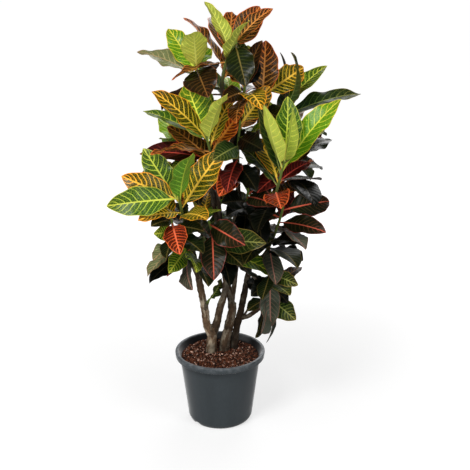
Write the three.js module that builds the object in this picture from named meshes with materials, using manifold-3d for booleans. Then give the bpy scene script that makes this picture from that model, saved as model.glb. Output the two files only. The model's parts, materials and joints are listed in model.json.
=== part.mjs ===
// A potted croton about 1.2 m tall: a filled nursery pot, three woody trunks that fork into
// branches, and the leafy shoots that grow from the branch ends.
// Millimetres, +Z up, the origin at the middle of the pot's underside, the front towards -Y.
import * as THREE from "three";
import { mergeVertices } from "three/addons/utils/BufferGeometryUtils.js";
import Module from "manifold-3d";

const wasm = await Module();
wasm.setup();

// ---------------------------------------------------------------- driving dimensions
const POT = {
  height: 220,
  rimRadius: 135,
  rimInnerRadius: 126,
  rimBand: 17,
  rimRound: 3,
  shoulderRadius: 121,
  footRadius: 95.5, // the straight wall's radius if it ran down to the floor
  baseRadius: 85,
  cornerHeight: 22,
  wall: 2.6,
  floor: 3,
  sides: 32,
};
const NOTCH = { radius: 17, sunk: 5, length: 40, middle: 93, sides: 20, angles: [-46, 134] }; // degrees
const SOIL = {
  top: 202,
  relief: 2.2,
  waves: [0.21, 0.13, 0.27], // radians per mm, along x, y and y
  gap: 0.3,
  footInset: 2, // in from the pot's foot
  cornerInset: 0.5, // and from its corner and its wall, beyond the gap
  edgeInset: 0.9,
  edgeDrop: 4, // how far the mulch's edge lies below its top
  rings: [100, 75, 50, 25],
  sides: 20,
};
const TRUNK_DEPTH = 52; // how far a trunk goes into the soil
const HOLE_GAP = 0.4; // between a trunk and its hole
const JOINT_GAP = 0.3; // between a branch's end and the shoot that goes on from it
const LINE_SAMPLES = 40; // for each stretch of a shoot's line, when its length is measured
const LIMB = { sides: 7, step: 70 };
const BRANCH = { radius: 7.5, sides: 5, step: 75 };
const STEM = {
  radius: 5.5,
  tipRadius: 3.2,
  sides: 5,
  step: 45,
  firstLeaf: 14, // bare length below the lowest leaf
  lastLeaf: 3, // and above the highest
  spread: 0.65, // how evenly the leaves share the stem's length
  places: 24, // tried along a stem when a leaf's foot is looked for
};

// A leaf's outline: a petiole, then a blade that is widest past its middle and ends in a point.
// Stations are shares of the midrib's length, and spread is the half width there, as a share
// of the largest. The leaves set by rule have one station less.
const SHOWN_FORM = {
  stations: [0, 0.15, 0.43, 0.74, 1],
  spread: [0, 0.14, 0.97, 0.8, 0],
  thickness: [3.4, 2.4, 1.1, 1.0, 0.9],
};
const RULE_FORM = {
  stations: [0, 0.15, 0.55, 1],
  spread: [0, 0.14, 1, 0],
  thickness: [3.4, 2.4, 1.1, 0.9],
};

// What all leaves share.
const LEAF = {
  widthShare: 0.41, // width over length
  widthRange: [46, 82],
  arch: 0.11, // how far the midrib bows, as a share of the length
  fold: 0.16, // how far the two halves lift, as a share of the half width
  clearance: 2.2, // free space kept round a blade, added to its thickness
  skin: 1, // the same between the blades of one shoot
  depthRange: [0.15, 0.8], // how far a tip goes back or forwards, as a share of the length
};

// Leaves set by rule: they hang at the foot of the stem and rise at its tip.
const RULE = {
  goldenAngle: 137.5,
  lowestLift: -42, // degrees above level
  liftRange: 92,
  liftDraw: 16,
  lengths: [0.86, 1.06], // shares of the shoot's leaf length
  outwardTilt: 0.25, // how far the upper face turns in towards the stem
  frontLimit: -0.3, // a leaf's direction may not point nearer the front than this
};

// The view that the plant is set out in. A place is given as it is seen from the front:
// mm to the right and mm up from the view's middle, measured on the plane through the
// plant's middle, and its depth in mm behind the pot's axis.
const EYE = new THREE.Vector3(45, -2250, 1289);
const EYE_PITCH = THREE.MathUtils.degToRad(17.46);
const EYE_REACH = 2450;
const AHEAD = new THREE.Vector3(0, Math.cos(EYE_PITCH), -Math.sin(EYE_PITCH));
const ABOVE = new THREE.Vector3(0, Math.sin(EYE_PITCH), Math.cos(EYE_PITCH));
const RIGHT = new THREE.Vector3(1, 0, 0);
const UPWARD = new THREE.Vector3(0, 0, 1);

// The crown's outline from the front: height up the view, and its left and right edges.
const CROWN = [
  [-250, -60, 150],
  [-200, -130, 190],
  [-135, -205, 200],
  [-75, -235, 225],
  [0, -255, 240],
  [105, -310, 240],
  [165, -310, 240],
  [225, -300, 260],
  [300, -215, 280],
  [405, -230, 300],
  [465, -210, 230],
  [525, -225, 135],
  [585, -135, 105],
  [660, -90, 90],
];

// ---------------------------------------------------------------- the plant's skeleton
// A trunk stands at its foot [x, y] and forks. Each limb is a line of places with its
// radius at the start and at the end; a trunk's first limb starts below its foot.
const TRUNKS = [
  {
    name: "trunk_left",
    colour: 0x8a7a62,
    foot: [-28, 25],
    limbs: [
      { line: [[-69, -309, 24], [-66, -273, 22]], radii: [18, 14] },
      {
        line: [
          [-69, -303, 24], [-84, -270, 23], [-90, -225, 22],
          [-99, -180, 22], [-108, -135, 22], [-114, -99, 20],
        ],
        radii: [12.5, 9.5],
      },
      {
        line: [
          [-66, -297, 24], [-54, -261, 20], [-45, -219, 16],
          [-33, -180, 14], [-27, -144, 14], [-33, -105, 15],
        ],
        radii: [12.5, 8.5],
      },
    ],
  },
  {
    name: "trunk_middle",
    colour: 0x7f705b,
    foot: [11, 36],
    limbs: [
      { line: [[-27, -309, 38], [-18, -270, 38], [-9, -231, 36], [-9, -204, 38]], radii: [16.5, 12.5] },
      { line: [[-9, -210, 38], [-18, -165, 48], [-27, -120, 58]], radii: [10.5, 8] },
    ],
  },
  {
    name: "trunk_right",
    colour: 0x6e6253,
    foot: [42, 50],
    limbs: [
      {
        line: [
          [6, -273, 62], [18, -225, 66], [24, -195, 64],
          [33, -150, 56], [42, -105, 48], [45, -81, 44],
        ],
        radii: [12, 8.5],
      },
      { line: [[24, -246, 62], [39, -222, 52]], radii: [4, 3] },
    ],
  },
];

// The leafy shoots. Each grows on from a branch of its carrier trunk: `branch` is the woody
// line and `stem` the green one that goes on from it. A row of `leaves` is a leaf that the
// front view shows: the place where it leaves the stem, its tip, and its width as seen, which
// is negative where its underside is seen. `more` leaves are set round the stem by rule.
const SHOOTS = [
  {
    name: "shoot_top",
    carrier: "trunk_middle",
    colour: 0x7c8a3a,
    branch: [[-9, -204, 38], [3, -105, 62], [15, 15, 68], [9, 150, 70], [-9, 270, 66], [-27, 369, 52]],
    stem: [[-39, 441, 38], [-33, 495, 25], [-18, 543, 15], [6, 579, 10]],
    leafLength: 165,
    more: 5,
    leaves: [
      [-39, 555, -153, 654, 21],
      [-27, 609, -90, 702, -36],
      [-27, 591, -9, 672, 72],
      [-18, 579, -63, 654, 72],
      [36, 573, 75, 687, 72],
      [-33, 567, 42, 645, -24],
      [48, 564, 114, 681, 39],
      [-54, 453, 27, 579, 78],
      [39, 564, 33, 447, 78],
    ],
  },
  {
    name: "shoot_upper_left",
    carrier: "trunk_left",
    colour: 0x86973f,
    branch: [[-39, -15, 20], [-63, 90, 50], [-78, 210, 75], [-93, 330, 80]],
    stem: [[-102, 423, 68], [-108, 465, 55], [-117, 507, 45]],
    leafLength: 180,
    more: 5,
    leaves: [
      [-126, 504, -201, 621, 66],
      [-111, 510, -123, 612, -72],
      [-147, 495, -294, 552, 39],
      [-111, 504, -81, 414, 96],
      [-114, 495, -60, 519, 48],
    ],
  },
  {
    name: "shoot_upper_middle",
    carrier: "trunk_right",
    colour: 0x5d6a35,
    branch: [[45, -81, 44], [63, 30, 75], [69, 165, 85], [69, 255, 76]],
    stem: [[69, 321, 66], [78, 381, 60], [90, 435, 50]],
    leafLength: 165,
    more: 5,
    leaves: [
      [96, 453, 93, 585, 81],
      [99, 429, 207, 504, 72],
      [81, 411, 153, 339, 54],
    ],
  },
  {
    name: "shoot_upper_right",
    carrier: "trunk_right",
    colour: 0x5f7a35,
    branch: [[63, 30, 75], [99, 135, 95], [114, 210, 92]],
    stem: [[123, 285, 80], [138, 345, 75], [153, 399, 65]],
    leafLength: 180,
    more: 5,
    leaves: [
      [144, 507, 138, 549, 15],
      [147, 507, 171, 549, -15],
      [144, 393, 198, 489, 54],
      [174, 414, 276, 510, 45],
      [174, 387, 378, 426, 45],
    ],
  },
  {
    name: "shoot_centre_left",
    carrier: "trunk_left",
    colour: 0x7f8a3c,
    branch: [[-33, -105, 15], [-39, -15, 20], [-48, 90, 8]],
    stem: [[-57, 180, -5], [-72, 246, -30], [-90, 306, -60]],
    leafLength: 195,
    more: 5,
    leaves: [
      [-93, 300, -147, 459, 102],
      [-72, 309, -24, 426, -36],
      [-39, 315, -6, 414, 51],
      [-96, 282, 12, 360, 54],
      [-150, 420, -249, 432, 54],
      [-171, 324, -276, 375, 36],
      [-135, 300, -186, 405, 42],
      [-57, 246, -204, 327, 54],
      [-105, 246, -288, 246, 57],
    ],
  },
  {
    name: "shoot_right_front",
    carrier: "trunk_right",
    colour: 0x5c7433,
    branch: [[45, -81, 44], [69, -15, 15], [90, 33, -8]],
    stem: [[108, 81, -25], [129, 147, -60], [147, 219, -90]],
    leafLength: 200,
    more: 5,
    leaves: [
      [195, 261, 318, 411, 66],
      [147, 231, 159, 417, 75],
      [138, 219, 90, 393, -39],
      [153, 225, 195, 381, -30],
      [135, 147, 138, 81, 72],
      [117, 216, 69, 396, 54],
      [108, 195, 6, 276, 48],
      [171, 219, 291, 288, 48],
      [105, 195, 234, 225, 30],
      [150, 189, 234, 207, 36],
      [180, 177, 258, 168, 12],
      [141, 135, 228, 147, 36],
      [117, 105, 66, 9, 54],
    ],
  },
  {
    name: "shoot_centre",
    carrier: "trunk_middle",
    colour: 0x5a6534,
    branch: [[-27, -120, 58], [-15, -30, 58], [3, 75, 45]],
    stem: [[9, 165, 28], [9, 255, 8], [15, 339, -10]],
    leafLength: 170,
    more: 5,
    leaves: [
      [24, 351, 105, 447, 66],
      [6, 333, 66, 399, 54],
      [30, 255, 18, 321, 27],
      [-9, 231, -24, 129, 54],
      [9, 210, -48, 117, 60],
      [9, 225, 66, 132, 60],
      [15, 300, 84, 255, 60],
      [12, 270, -66, 225, 60],
    ],
  },
  {
    name: "shoot_left",
    carrier: "trunk_left",
    colour: 0x6d8637,
    branch: [[-114, -99, 20], [-129, -45, 12], [-138, -9, 6]],
    stem: [[-147, 27, 0], [-159, 69, -40], [-168, 114, -70]],
    leafLength: 195,
    more: 5,
    leaves: [
      [-180, 117, -276, 261, 78],
      [-111, 120, -12, 243, 78],
      [-162, 117, -129, 246, -51],
      [-195, 114, -342, 177, 75],
      [-225, 120, -387, 87, 81],
      [-189, 105, -114, 147, 24],
      [-177, 87, -291, 45, 36],
      [-159, 75, -198, 69, 24],
      [-147, 84, -84, 48, 45],
    ],
  },
  {
    name: "shoot_lower_left",
    carrier: "trunk_left",
    colour: 0x55502f,
    branch: [[-108, -135, 22], [-120, -105, 8]],
    stem: [[-135, -81, -5], [-156, -39, -25], [-183, 15, -45], [-192, 51, -50]],
    leafLength: 175,
    more: 5,
    leaves: [
      [-153, 51, -165, -57, 66],
      [-177, 9, -243, 3, 48],
      [-210, 75, -252, 27, 36],
      [-201, -9, -207, -69, 36],
      [-201, -60, -246, -75, 39],
      [-189, -63, -264, -123, 24],
      [-189, -81, -258, -144, 45],
      [-138, -57, -198, -114, 54],
      [-144, -57, -114, -111, 27],
      [-138, -87, -129, -165, 36],
      [-165, 3, -96, -54, 48],
      [-132, -69, -78, -153, 42],
      [-177, 33, -93, 12, 42],
    ],
  },
  {
    name: "shoot_lower_centre",
    carrier: "trunk_left",
    colour: 0x3f4a2c,
    branch: [[-33, -111, 15], [-39, -87, 2]],
    stem: [[-48, -57, -10], [-60, -15, -38], [-78, 39, -60]],
    leafLength: 185,
    more: 6,
    leaves: [
      [-90, -6, -63, -135, 72],
      [-99, 42, 30, -30, 72],
      [-21, -33, 93, -24, 72],
      [42, -51, 123, -123, 48],
      [-39, -42, 24, -93, 54],
      [-51, -51, -15, -153, 51],
    ],
  },
  {
    name: "shoot_lower_right",
    carrier: "trunk_right",
    colour: 0x40402f,
    branch: [[45, -81, 44], [66, -72, 42]],
    stem: [[84, -63, 35], [111, -15, 20], [132, 39, 0], [144, 81, -20]],
    leafLength: 180,
    more: 6,
    leaves: [
      [135, 90, 285, 102, 72],
      [135, 21, 273, 9, 54],
      [141, 3, 213, -42, 30],
      [99, -45, 186, -24, 39],
      [105, -66, 204, -75, 36],
      [105, -66, 189, -96, 39],
      [99, -45, 27, -87, 54],
      [111, -15, 42, -9, 54],
      [135, 39, 63, 81, 54],
      [93, -51, 123, -147, 54],
    ],
  },
  {
    name: "shoot_bottom_right",
    carrier: "trunk_right",
    colour: 0x44543a,
    branch: [[15, -249, 64], [39, -243, 50], [63, -228, 28]],
    stem: [[81, -213, 10], [99, -189, 2], [108, -153, -8], [105, -105, -18]],
    leafLength: 165,
    more: 4,
    leaves: [
      [102, -99, 108, -276, 60],
      [111, -99, 189, -150, 45],
      [129, -129, 165, -180, 36],
      [120, -135, 159, -204, 42],
      [111, -210, 183, -255, 63],
      [81, -195, 36, -228, 36],
      [81, -201, 63, -309, 27],
      [99, -210, 81, -294, 27],
      [108, -210, 96, -324, 9],
      [81, -111, 81, -192, 42],
      [96, -135, 33, -144, 48],
      [105, -111, 48, -183, 54],
    ],
  },
  {
    name: "shoot_low",
    carrier: "trunk_left",
    colour: 0x4f7a33,
    branch: [[-90, -225, 20], [-87, -212, 12]],
    stem: [[-84, -205, 6], [-78, -195, 0]],
    leafLength: 95,
    more: 0,
    leaves: [
      [-78, -195, -39, -129, 26],
    ],
  },
  {
    name: "shoot_back_left",
    carrier: "trunk_left",
    colour: 0x5f7836,
    branch: [[-114, -99, 20], [-129, -30, 60], [-144, 60, 100], [-153, 135, 130]],
    stem: [[-156, 180, 145], [-159, 255, 160]],
    leafLength: 180,
    more: 13,
    leaves: [],
  },
  {
    name: "shoot_back_right",
    carrier: "trunk_right",
    colour: 0x5f7836,
    branch: [[99, 135, 95], [123, 180, 122], [135, 225, 142]],
    stem: [[138, 255, 155], [138, 321, 165]],
    leafLength: 180,
    more: 13,
    leaves: [],
  },
  {
    name: "shoot_back_middle",
    carrier: "trunk_middle",
    colour: 0x6c8a38,
    branch: [[9, 150, 70], [3, 225, 105], [-3, 285, 130]],
    stem: [[-6, 321, 140], [-9, 396, 150]],
    leafLength: 175,
    more: 13,
    leaves: [],
  },
  {
    name: "shoot_back_low_left",
    carrier: "trunk_left",
    colour: 0x4c4a30,
    branch: [[-108, -135, 22], [-105, -81, 60], [-99, -39, 90]],
    stem: [[-99, -15, 105], [-99, 39, 130]],
    leafLength: 175,
    more: 11,
    leaves: [],
  },
  {
    name: "shoot_back_low_right",
    carrier: "trunk_right",
    colour: 0x4c4a30,
    branch: [[42, -105, 48], [57, -60, 75], [69, -21, 105]],
    stem: [[72, -3, 115], [75, 51, 140]],
    leafLength: 175,
    more: 11,
    leaves: [],
  },
  {
    name: "shoot_inner_low",
    carrier: "trunk_middle",
    colour: 0x44482e,
    branch: [[-21, -147, 52], [-15, -111, 70], [-12, -81, 82]],
    stem: [[-12, -63, 86], [-18, -6, 94]],
    leafLength: 165,
    more: 8,
    leaves: [
      [-15, -30, -84, -84, 48],
      [-15, -15, 12, 63, 48],
      [-15, -30, -72, 39, 54],
      [-15, -15, 57, 27, 54],
    ],
  },
  {
    name: "shoot_inner_middle",
    carrier: "trunk_right",
    colour: 0x4a4a2e,
    branch: [[45, -81, 44], [36, -15, 40], [33, 39, 28]],
    stem: [[33, 63, 22], [39, 135, 5]],
    leafLength: 170,
    more: 8,
    leaves: [
      [36, 90, -39, 96, 54],
      [39, 75, -24, 57, 48],
      [39, 117, 99, 171, 54],
      [39, 90, 81, 18, 54],
      [36, 75, 24, -15, 54],
      [39, 129, 33, 204, 54],
      [36, 69, 66, -45, 54],
      [39, 105, 123, 87, 54],
    ],
  },
  {
    name: "shoot_inner_left",
    carrier: "trunk_left",
    colour: 0x55602f,
    branch: [[-48, 90, 8], [-69, 135, 30], [-87, 177, 42]],
    stem: [[-93, 201, 46], [-105, 261, 50]],
    leafLength: 170,
    more: 7,
    leaves: [
      [-96, 210, -39, 105, 54],
      [-96, 225, -60, 165, 48],
      [-99, 240, -189, 201, 48],
      [-96, 201, -108, 87, 54],
      [-99, 240, -18, 285, 54],
      [-96, 210, -171, 129, 54],
    ],
  },
  {
    name: "shoot_inner_right",
    carrier: "trunk_right",
    colour: 0x4f5a2f,
    branch: [[81, 81, 86], [123, 105, 85], [147, 135, 80]],
    stem: [[156, 153, 78], [177, 207, 70]],
    leafLength: 170,
    more: 7,
    leaves: [
      [162, 171, 81, 105, 54],
      [165, 180, 231, 114, 48],
      [171, 195, 258, 207, 42],
      [168, 195, 105, 255, 48],
      [159, 159, 141, 51, 54],
      [162, 165, 204, 63, 48],
    ],
  },
  {
    name: "shoot_inner_top",
    carrier: "trunk_middle",
    colour: 0x5f5a30,
    branch: [[-9, 270, 66], [9, 321, 52], [21, 369, 40]],
    stem: [[24, 393, 34], [30, 453, 22]],
    leafLength: 155,
    more: 7,
    leaves: [
      [27, 435, -18, 507, 48],
      [27, 429, -42, 399, 48],
      [30, 441, 69, 522, 48],
      [27, 420, 81, 378, 48],
      [27, 411, 3, 336, 42],
      [27, 429, 81, 585, 48],
    ],
  },
];

// ---------------------------------------------------------------- small tools
function solidOf(geometry) {
  const bare = geometry.clone();
  bare.deleteAttribute("normal");
  bare.deleteAttribute("uv");
  const merged = mergeVertices(bare, 1e-4);
  const vertProperties = new Float32Array(merged.attributes.position.array);
  const corners = [...merged.index.array];
  const kept = [];
  for (let i = 0; i < corners.length; i += 3) {
    const [a, b, c] = corners.slice(i, i + 3);
    if (a !== b && b !== c && c !== a) kept.push(a, b, c);
  }
  const triVerts = new Uint32Array(kept);
  return new wasm.Manifold(new wasm.Mesh({ numProp: 3, vertProperties, triVerts }));
}

function geometryOf(solid) {
  const mesh = solid.getMesh();
  const geometry = new THREE.BufferGeometry();
  geometry.setAttribute("position", new THREE.BufferAttribute(mesh.vertProperties, 3));
  geometry.setIndex(new THREE.BufferAttribute(mesh.triVerts, 1));
  geometry.computeVertexNormals();
  return geometry;
}

function joined(solids) {
  return solids.reduce((whole, piece) => whole.add(piece));
}

/** The point seen `across` and `up` in the front view that lies `depth` behind the pot's axis. */
function seen([across, up, depth]) {
  const ray = AHEAD.clone().multiplyScalar(EYE_REACH);
  ray.addScaledVector(RIGHT, across).addScaledVector(ABOVE, up);
  return EYE.clone().addScaledVector(ray, (depth - EYE.y) / ray.y);
}

/** Where a point shows in the front view, as [across, up]. */
function shown(point) {
  const ray = point.clone().sub(EYE);
  const scale = EYE_REACH / ray.dot(AHEAD);
  return [ray.dot(RIGHT) * scale, ray.dot(ABOVE) * scale];
}

/** The same fraction from 0 to 1 each time for the same two numbers. */
function draw(first, second) {
  const value = Math.sin(first * 127.1 + second * 311.7) * 43758.5453;
  return value - Math.floor(value);
}

/** A direction made square to another one. */
function squareTo(direction, along) {
  return direction.clone().addScaledVector(along, -direction.dot(along)).normalize();
}

/** A round limb along a stretch of a curve: a cylinder bent to the curve and tapered. */
function limb(curve, start, end, startRadius, endRadius, { sides, step }) {
  const steps = Math.max(1, Math.round((curve.getLength() * (end - start)) / step));
  const geometry = new THREE.CylinderGeometry(1, 1, 1, sides, steps);
  const reference = new THREE.Vector3(0.8, 0.6, 0);
  const rings = [];
  for (let i = 0; i <= steps; i += 1) {
    const at = start + ((end - start) * i) / steps;
    const along = curve.getTangentAt(at);
    const first = squareTo(reference, along);
    rings.push({
      centre: curve.getPointAt(at),
      first,
      second: along.clone().cross(first),
      radius: startRadius + ((endRadius - startRadius) * i) / steps,
    });
  }
  const place = geometry.attributes.position;
  for (let i = 0; i < place.count; i += 1) {
    const ring = rings[Math.round((place.getY(i) + 0.5) * steps)];
    const point = ring.centre.clone();
    point.addScaledVector(ring.second, place.getX(i) * ring.radius);
    point.addScaledVector(ring.first, place.getZ(i) * ring.radius);
    place.setXYZ(i, point.x, point.y, point.z);
  }
  return solidOf(geometry);
}

// ---------------------------------------------------------------- the pot and its soil
function bodyRadius(z) {
  const share = z / (POT.height - POT.rimBand);
  return POT.footRadius + (POT.shoulderRadius - POT.footRadius) * share;
}

function lathed(profile, sides) {
  const geometry = new THREE.LatheGeometry(profile.map(([r, z]) => new THREE.Vector2(r, z)), sides);
  geometry.rotateX(Math.PI / 2);
  return geometry;
}

/** The rounded corner between the base and the wall: a quarter of an ellipse. */
function cornerPoints(steps) {
  const wallRadius = bodyRadius(POT.cornerHeight);
  const points = [];
  for (let i = 0; i <= steps; i += 1) {
    const turn = ((Math.PI / 2) * i) / steps;
    const radius = POT.baseRadius + (wallRadius - POT.baseRadius) * Math.sin(turn);
    points.push([radius, POT.cornerHeight * (1 - Math.cos(turn))]);
  }
  return points;
}

function makePot() {
  const bandFoot = POT.height - POT.rimBand;
  const round = POT.rimRound;
  const outside = [
    [0, 0],
    ...cornerPoints(4),
    [bodyRadius(bandFoot), bandFoot],
    [POT.rimRadius - 1, bandFoot],
    [POT.rimRadius, POT.height - round],
    [POT.rimRadius - round, POT.height],
  ];
  const inside = [
    [POT.rimInnerRadius, POT.height],
    [innerRadius(SOIL.top), SOIL.top],
    [innerRadius(POT.cornerHeight), POT.cornerHeight],
    [POT.baseRadius - 1, POT.floor],
    [0, POT.floor],
  ];
  let pot = solidOf(lathed([...outside, ...inside], POT.sides));
  for (const angle of NOTCH.angles) {
    const notch = new THREE.CylinderGeometry(NOTCH.radius, NOTCH.radius, NOTCH.length, NOTCH.sides);
    notch.translate(0, -NOTCH.middle, -NOTCH.sunk);
    notch.rotateZ(THREE.MathUtils.degToRad(angle));
    pot = pot.subtract(solidOf(notch));
  }
  return pot;
}

function innerRadius(z) {
  return bodyRadius(z) - POT.wall;
}

/** The bark mulch: it fills the pot, with a lumpy top and a plain hole for each trunk. */
function makeSoil(holes) {
  const gap = SOIL.gap;
  const profile = [
    [0, POT.floor + gap],
    [POT.baseRadius - SOIL.footInset, POT.floor + gap],
    [innerRadius(POT.cornerHeight) - gap - SOIL.cornerInset, POT.cornerHeight + 1],
    [innerRadius(SOIL.top) - gap - SOIL.edgeInset, SOIL.top - SOIL.edgeDrop],
    ...SOIL.rings.map((radius) => [radius, SOIL.top]),
    [0, SOIL.top],
  ];
  const geometry = lathed(profile, SOIL.sides);
  const place = geometry.attributes.position;
  const [first, second, third] = SOIL.waves;
  for (let i = 0; i < place.count; i += 1) {
    if (place.getZ(i) < SOIL.top - 1) continue;
    const [x, y] = [place.getX(i), place.getY(i)];
    const wave = Math.sin(first * x + second * y) + Math.sin(third * y);
    place.setZ(i, SOIL.top + SOIL.relief * wave);
  }
  return holes.reduce((soil, hole) => soil.subtract(hole), solidOf(geometry));
}

// ---------------------------------------------------------------- trunks and stems
function trunkCurve(trunk, index, extra) {
  const points = trunk.limbs[index].line.map(seen);
  if (index === 0) {
    const [x, y] = trunk.foot;
    const foot = SOIL.top - TRUNK_DEPTH - extra;
    points.unshift(new THREE.Vector3(x, y, foot), new THREE.Vector3(x, y, SOIL.top));
  }
  return new THREE.CatmullRomCurve3(points);
}

function trunkLimb(trunk, index, extra) {
  const [start, end] = trunk.limbs[index].radii;
  return limb(trunkCurve(trunk, index, extra), 0, 1, start + extra, end + extra, LIMB);
}

/** A shoot's whole line, from inside its carrier to its tip, and where its green part starts. */
function shootLine(shoot) {
  const curve = new THREE.CatmullRomCurve3([...shoot.branch, ...shoot.stem].map(seen));
  const knots = shoot.branch.length + shoot.stem.length - 1;
  const length = curve.getLength();
  const lengths = curve.getLengths(knots * LINE_SAMPLES);
  return { curve, length, join: lengths[shoot.branch.length * LINE_SAMPLES] / length };
}

function woodyBranch(line, extra) {
  const end = line.join - JOINT_GAP / 2 / line.length;
  return limb(line.curve, 0, end, BRANCH.radius + extra, STEM.radius + extra, BRANCH);
}

function greenStem(line, extra) {
  const start = line.join + JOINT_GAP / 2 / line.length;
  return limb(line.curve, start, 1, STEM.radius + extra, STEM.tipRadius + extra, STEM);
}

// ---------------------------------------------------------------- leaves
/** The closed blade from one of a leaf's stations on: a grid laid on its midrib, with two faces. */
function blade(leaf, from, added) {
  const { stations, spread, thickness } = leaf.form;
  const to = stations.length - 1;
  const bend = leaf.root.clone().lerp(leaf.tip, 0.5);
  bend.addScaledVector(leaf.normal, LEAF.arch * leaf.root.distanceTo(leaf.tip));
  const midrib = new THREE.QuadraticBezierCurve3(leaf.root, bend, leaf.tip);
  const sheet = new THREE.PlaneGeometry(2, 1, 2, to - from);
  const grid = sheet.attributes.position;
  const count = grid.count;
  const points = new Float32Array(count * 6);
  for (let i = 0; i < count; i += 1) {
    const station = to - Math.floor(i / 3);
    const share = stations[station];
    const along = midrib.getTangent(share);
    const upper = squareTo(leaf.normal, along);
    const side = along.clone().cross(upper);
    const halfWidth = (spread[station] * leaf.width) / 2;
    const point = midrib.getPoint(share).addScaledVector(side, grid.getX(i) * halfWidth);
    point.addScaledVector(upper, Math.abs(grid.getX(i)) * halfWidth * LEAF.fold);
    const half = (thickness[station] + added) / 2;
    point.clone().addScaledVector(upper, half).toArray(points, i * 3);
    point.clone().addScaledVector(upper, -half).toArray(points, (count + i) * 3);
  }
  const geometry = new THREE.BufferGeometry();
  geometry.setAttribute("position", new THREE.BufferAttribute(points, 3));
  geometry.setIndex(shellIndex([...sheet.index.array], count, to - from));
  return solidOf(geometry);
}

/** The triangles of a sheet three points wide, of the same sheet turned over, and of its edge. */
function shellIndex(face, count, rows) {
  const index = [...face];
  for (let i = 0; i < face.length; i += 3) {
    index.push(face[i] + count, face[i + 2] + count, face[i + 1] + count);
  }
  const rim = [rows * 3, rows * 3 + 1];
  for (let row = rows; row >= 0; row -= 1) rim.push(row * 3 + 2);
  rim.push(1);
  for (let row = 0; row < rows; row += 1) rim.push(row * 3);
  rim.forEach((here, i) => {
    const next = rim[(i + 1) % rim.length];
    index.push(here, here + count, next + count, here, next + count, next);
  });
  return index;
}

/** The width of a leaf of a given length. */
function widthFor(length) {
  return THREE.MathUtils.clamp(length * LEAF.widthShare, ...LEAF.widthRange);
}

/** The share of a shoot's line where its stem shows nearest to a place in the front view. */
function nearestShare(line, across, up) {
  const first = line.join + STEM.firstLeaf / line.length;
  const last = 1 - STEM.lastLeaf / line.length;
  let best = { share: last, distance: Infinity };
  for (let i = 0; i <= STEM.places; i += 1) {
    const share = first + ((last - first) * i) / STEM.places;
    const [x, y] = shown(line.curve.getPointAt(share));
    const distance = Math.hypot(x - across, y - up);
    if (distance < best.distance) best = { share, distance };
  }
  return best.share;
}

/** The shown leaves' places on the stem: near where they show, but spread out along it. */
function rootShares(shoot, line) {
  const wanted = shoot.leaves.map(([across, up]) => nearestShare(line, across, up));
  const order = wanted.map((_, i) => i).sort((a, b) => wanted[a] - wanted[b] || a - b);
  const first = line.join + STEM.firstLeaf / line.length;
  const span = 1 - STEM.lastLeaf / line.length - first;
  const shares = [];
  order.forEach((leaf, rank) => {
    const even = first + (span * (rank + 0.5)) / order.length;
    shares[leaf] = wanted[leaf] + STEM.spread * (even - wanted[leaf]);
  });
  return shares;
}

/**
 * A leaf that the front view shows. Its length and its seen reach give its depth: towards the
 * back for a rising leaf that shows its upper face or a drooping one that shows its underside,
 * and towards the front otherwise. It is turned until it shows the width given.
 */
function shownLeaf(shoot, line, row, share, shift) {
  const [tipAcross, tipUp, seenWidth] = row.slice(2);
  const root = line.curve.getPointAt(share);
  const [rootAcross, rootUp] = shown(root);
  const reach = Math.hypot(tipAcross - rootAcross, tipUp - rootUp);
  const heading = Math.atan2(tipUp - rootUp, tipAcross - rootAcross);
  const turned = heading + THREE.MathUtils.degToRad(shift.swing);
  const rises = tipUp > rootUp;
  const away = rises === seenWidth > 0 ? 1 : -1;
  const hidden = Math.sqrt(Math.max(0, shoot.leafLength ** 2 - reach ** 2));
  const [least, most] = LEAF.depthRange.map((part) => part * shoot.leafLength);
  const depth = THREE.MathUtils.clamp(hidden, least, most);
  const tip = seen([
    rootAcross + reach * Math.cos(turned),
    rootUp + reach * Math.sin(turned),
    root.y + away * depth + shift.depth,
  ]);
  const chord = tip.clone().sub(root).normalize();
  const width = Math.max(Math.abs(seenWidth), widthFor(root.distanceTo(tip)));
  const facing = squareTo(EYE.clone().sub(tip), chord);
  const side = chord.clone().cross(facing);
  const turn = Math.acos(Math.min(1, Math.abs(seenWidth) / width));
  const stemwards = side.dot(line.curve.getTangentAt(share)) < 0 ? -1 : 1;
  const normal = facing.multiplyScalar(Math.sign(seenWidth) * Math.cos(turn));
  normal.addScaledVector(side, stemwards * Math.sin(turn));
  return { root, tip, normal, width, form: SHOWN_FORM };
}

/** A leaf set round the stem by rule: the lower down the stem, the more it hangs. */
function ruleLeaf(shoot, line, key, number, shift) {
  const rise = (number + 0.5) / shoot.more;
  const first = line.join + STEM.firstLeaf / line.length;
  const share = first + (1 - STEM.lastLeaf / line.length - first) * rise;
  const start = 360 * draw(key, 1);
  const turn = THREE.MathUtils.degToRad(RULE.goldenAngle * number + start + shift.turn);
  const unevenness = RULE.liftDraw * (draw(key, number + 2) - 0.5);
  const lift = RULE.lowestLift + RULE.liftRange * rise + unevenness + shift.lift;
  const lean = THREE.MathUtils.degToRad(lift);
  const part = THREE.MathUtils.lerp(...RULE.lengths, draw(key, number + 40));
  const length = shoot.leafLength * part;
  const outward = new THREE.Vector3(Math.cos(turn), Math.sin(turn), 0);
  const chord = outward.clone().multiplyScalar(Math.cos(lean)).addScaledVector(UPWARD, Math.sin(lean));
  const root = line.curve.getPointAt(share);
  const tip = root.clone().addScaledVector(chord, length);
  const normal = UPWARD.clone().addScaledVector(outward, -RULE.outwardTilt);
  const width = widthFor(length);
  return { root, tip, normal: squareTo(normal, chord), width, outward, form: RULE_FORM };
}

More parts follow.
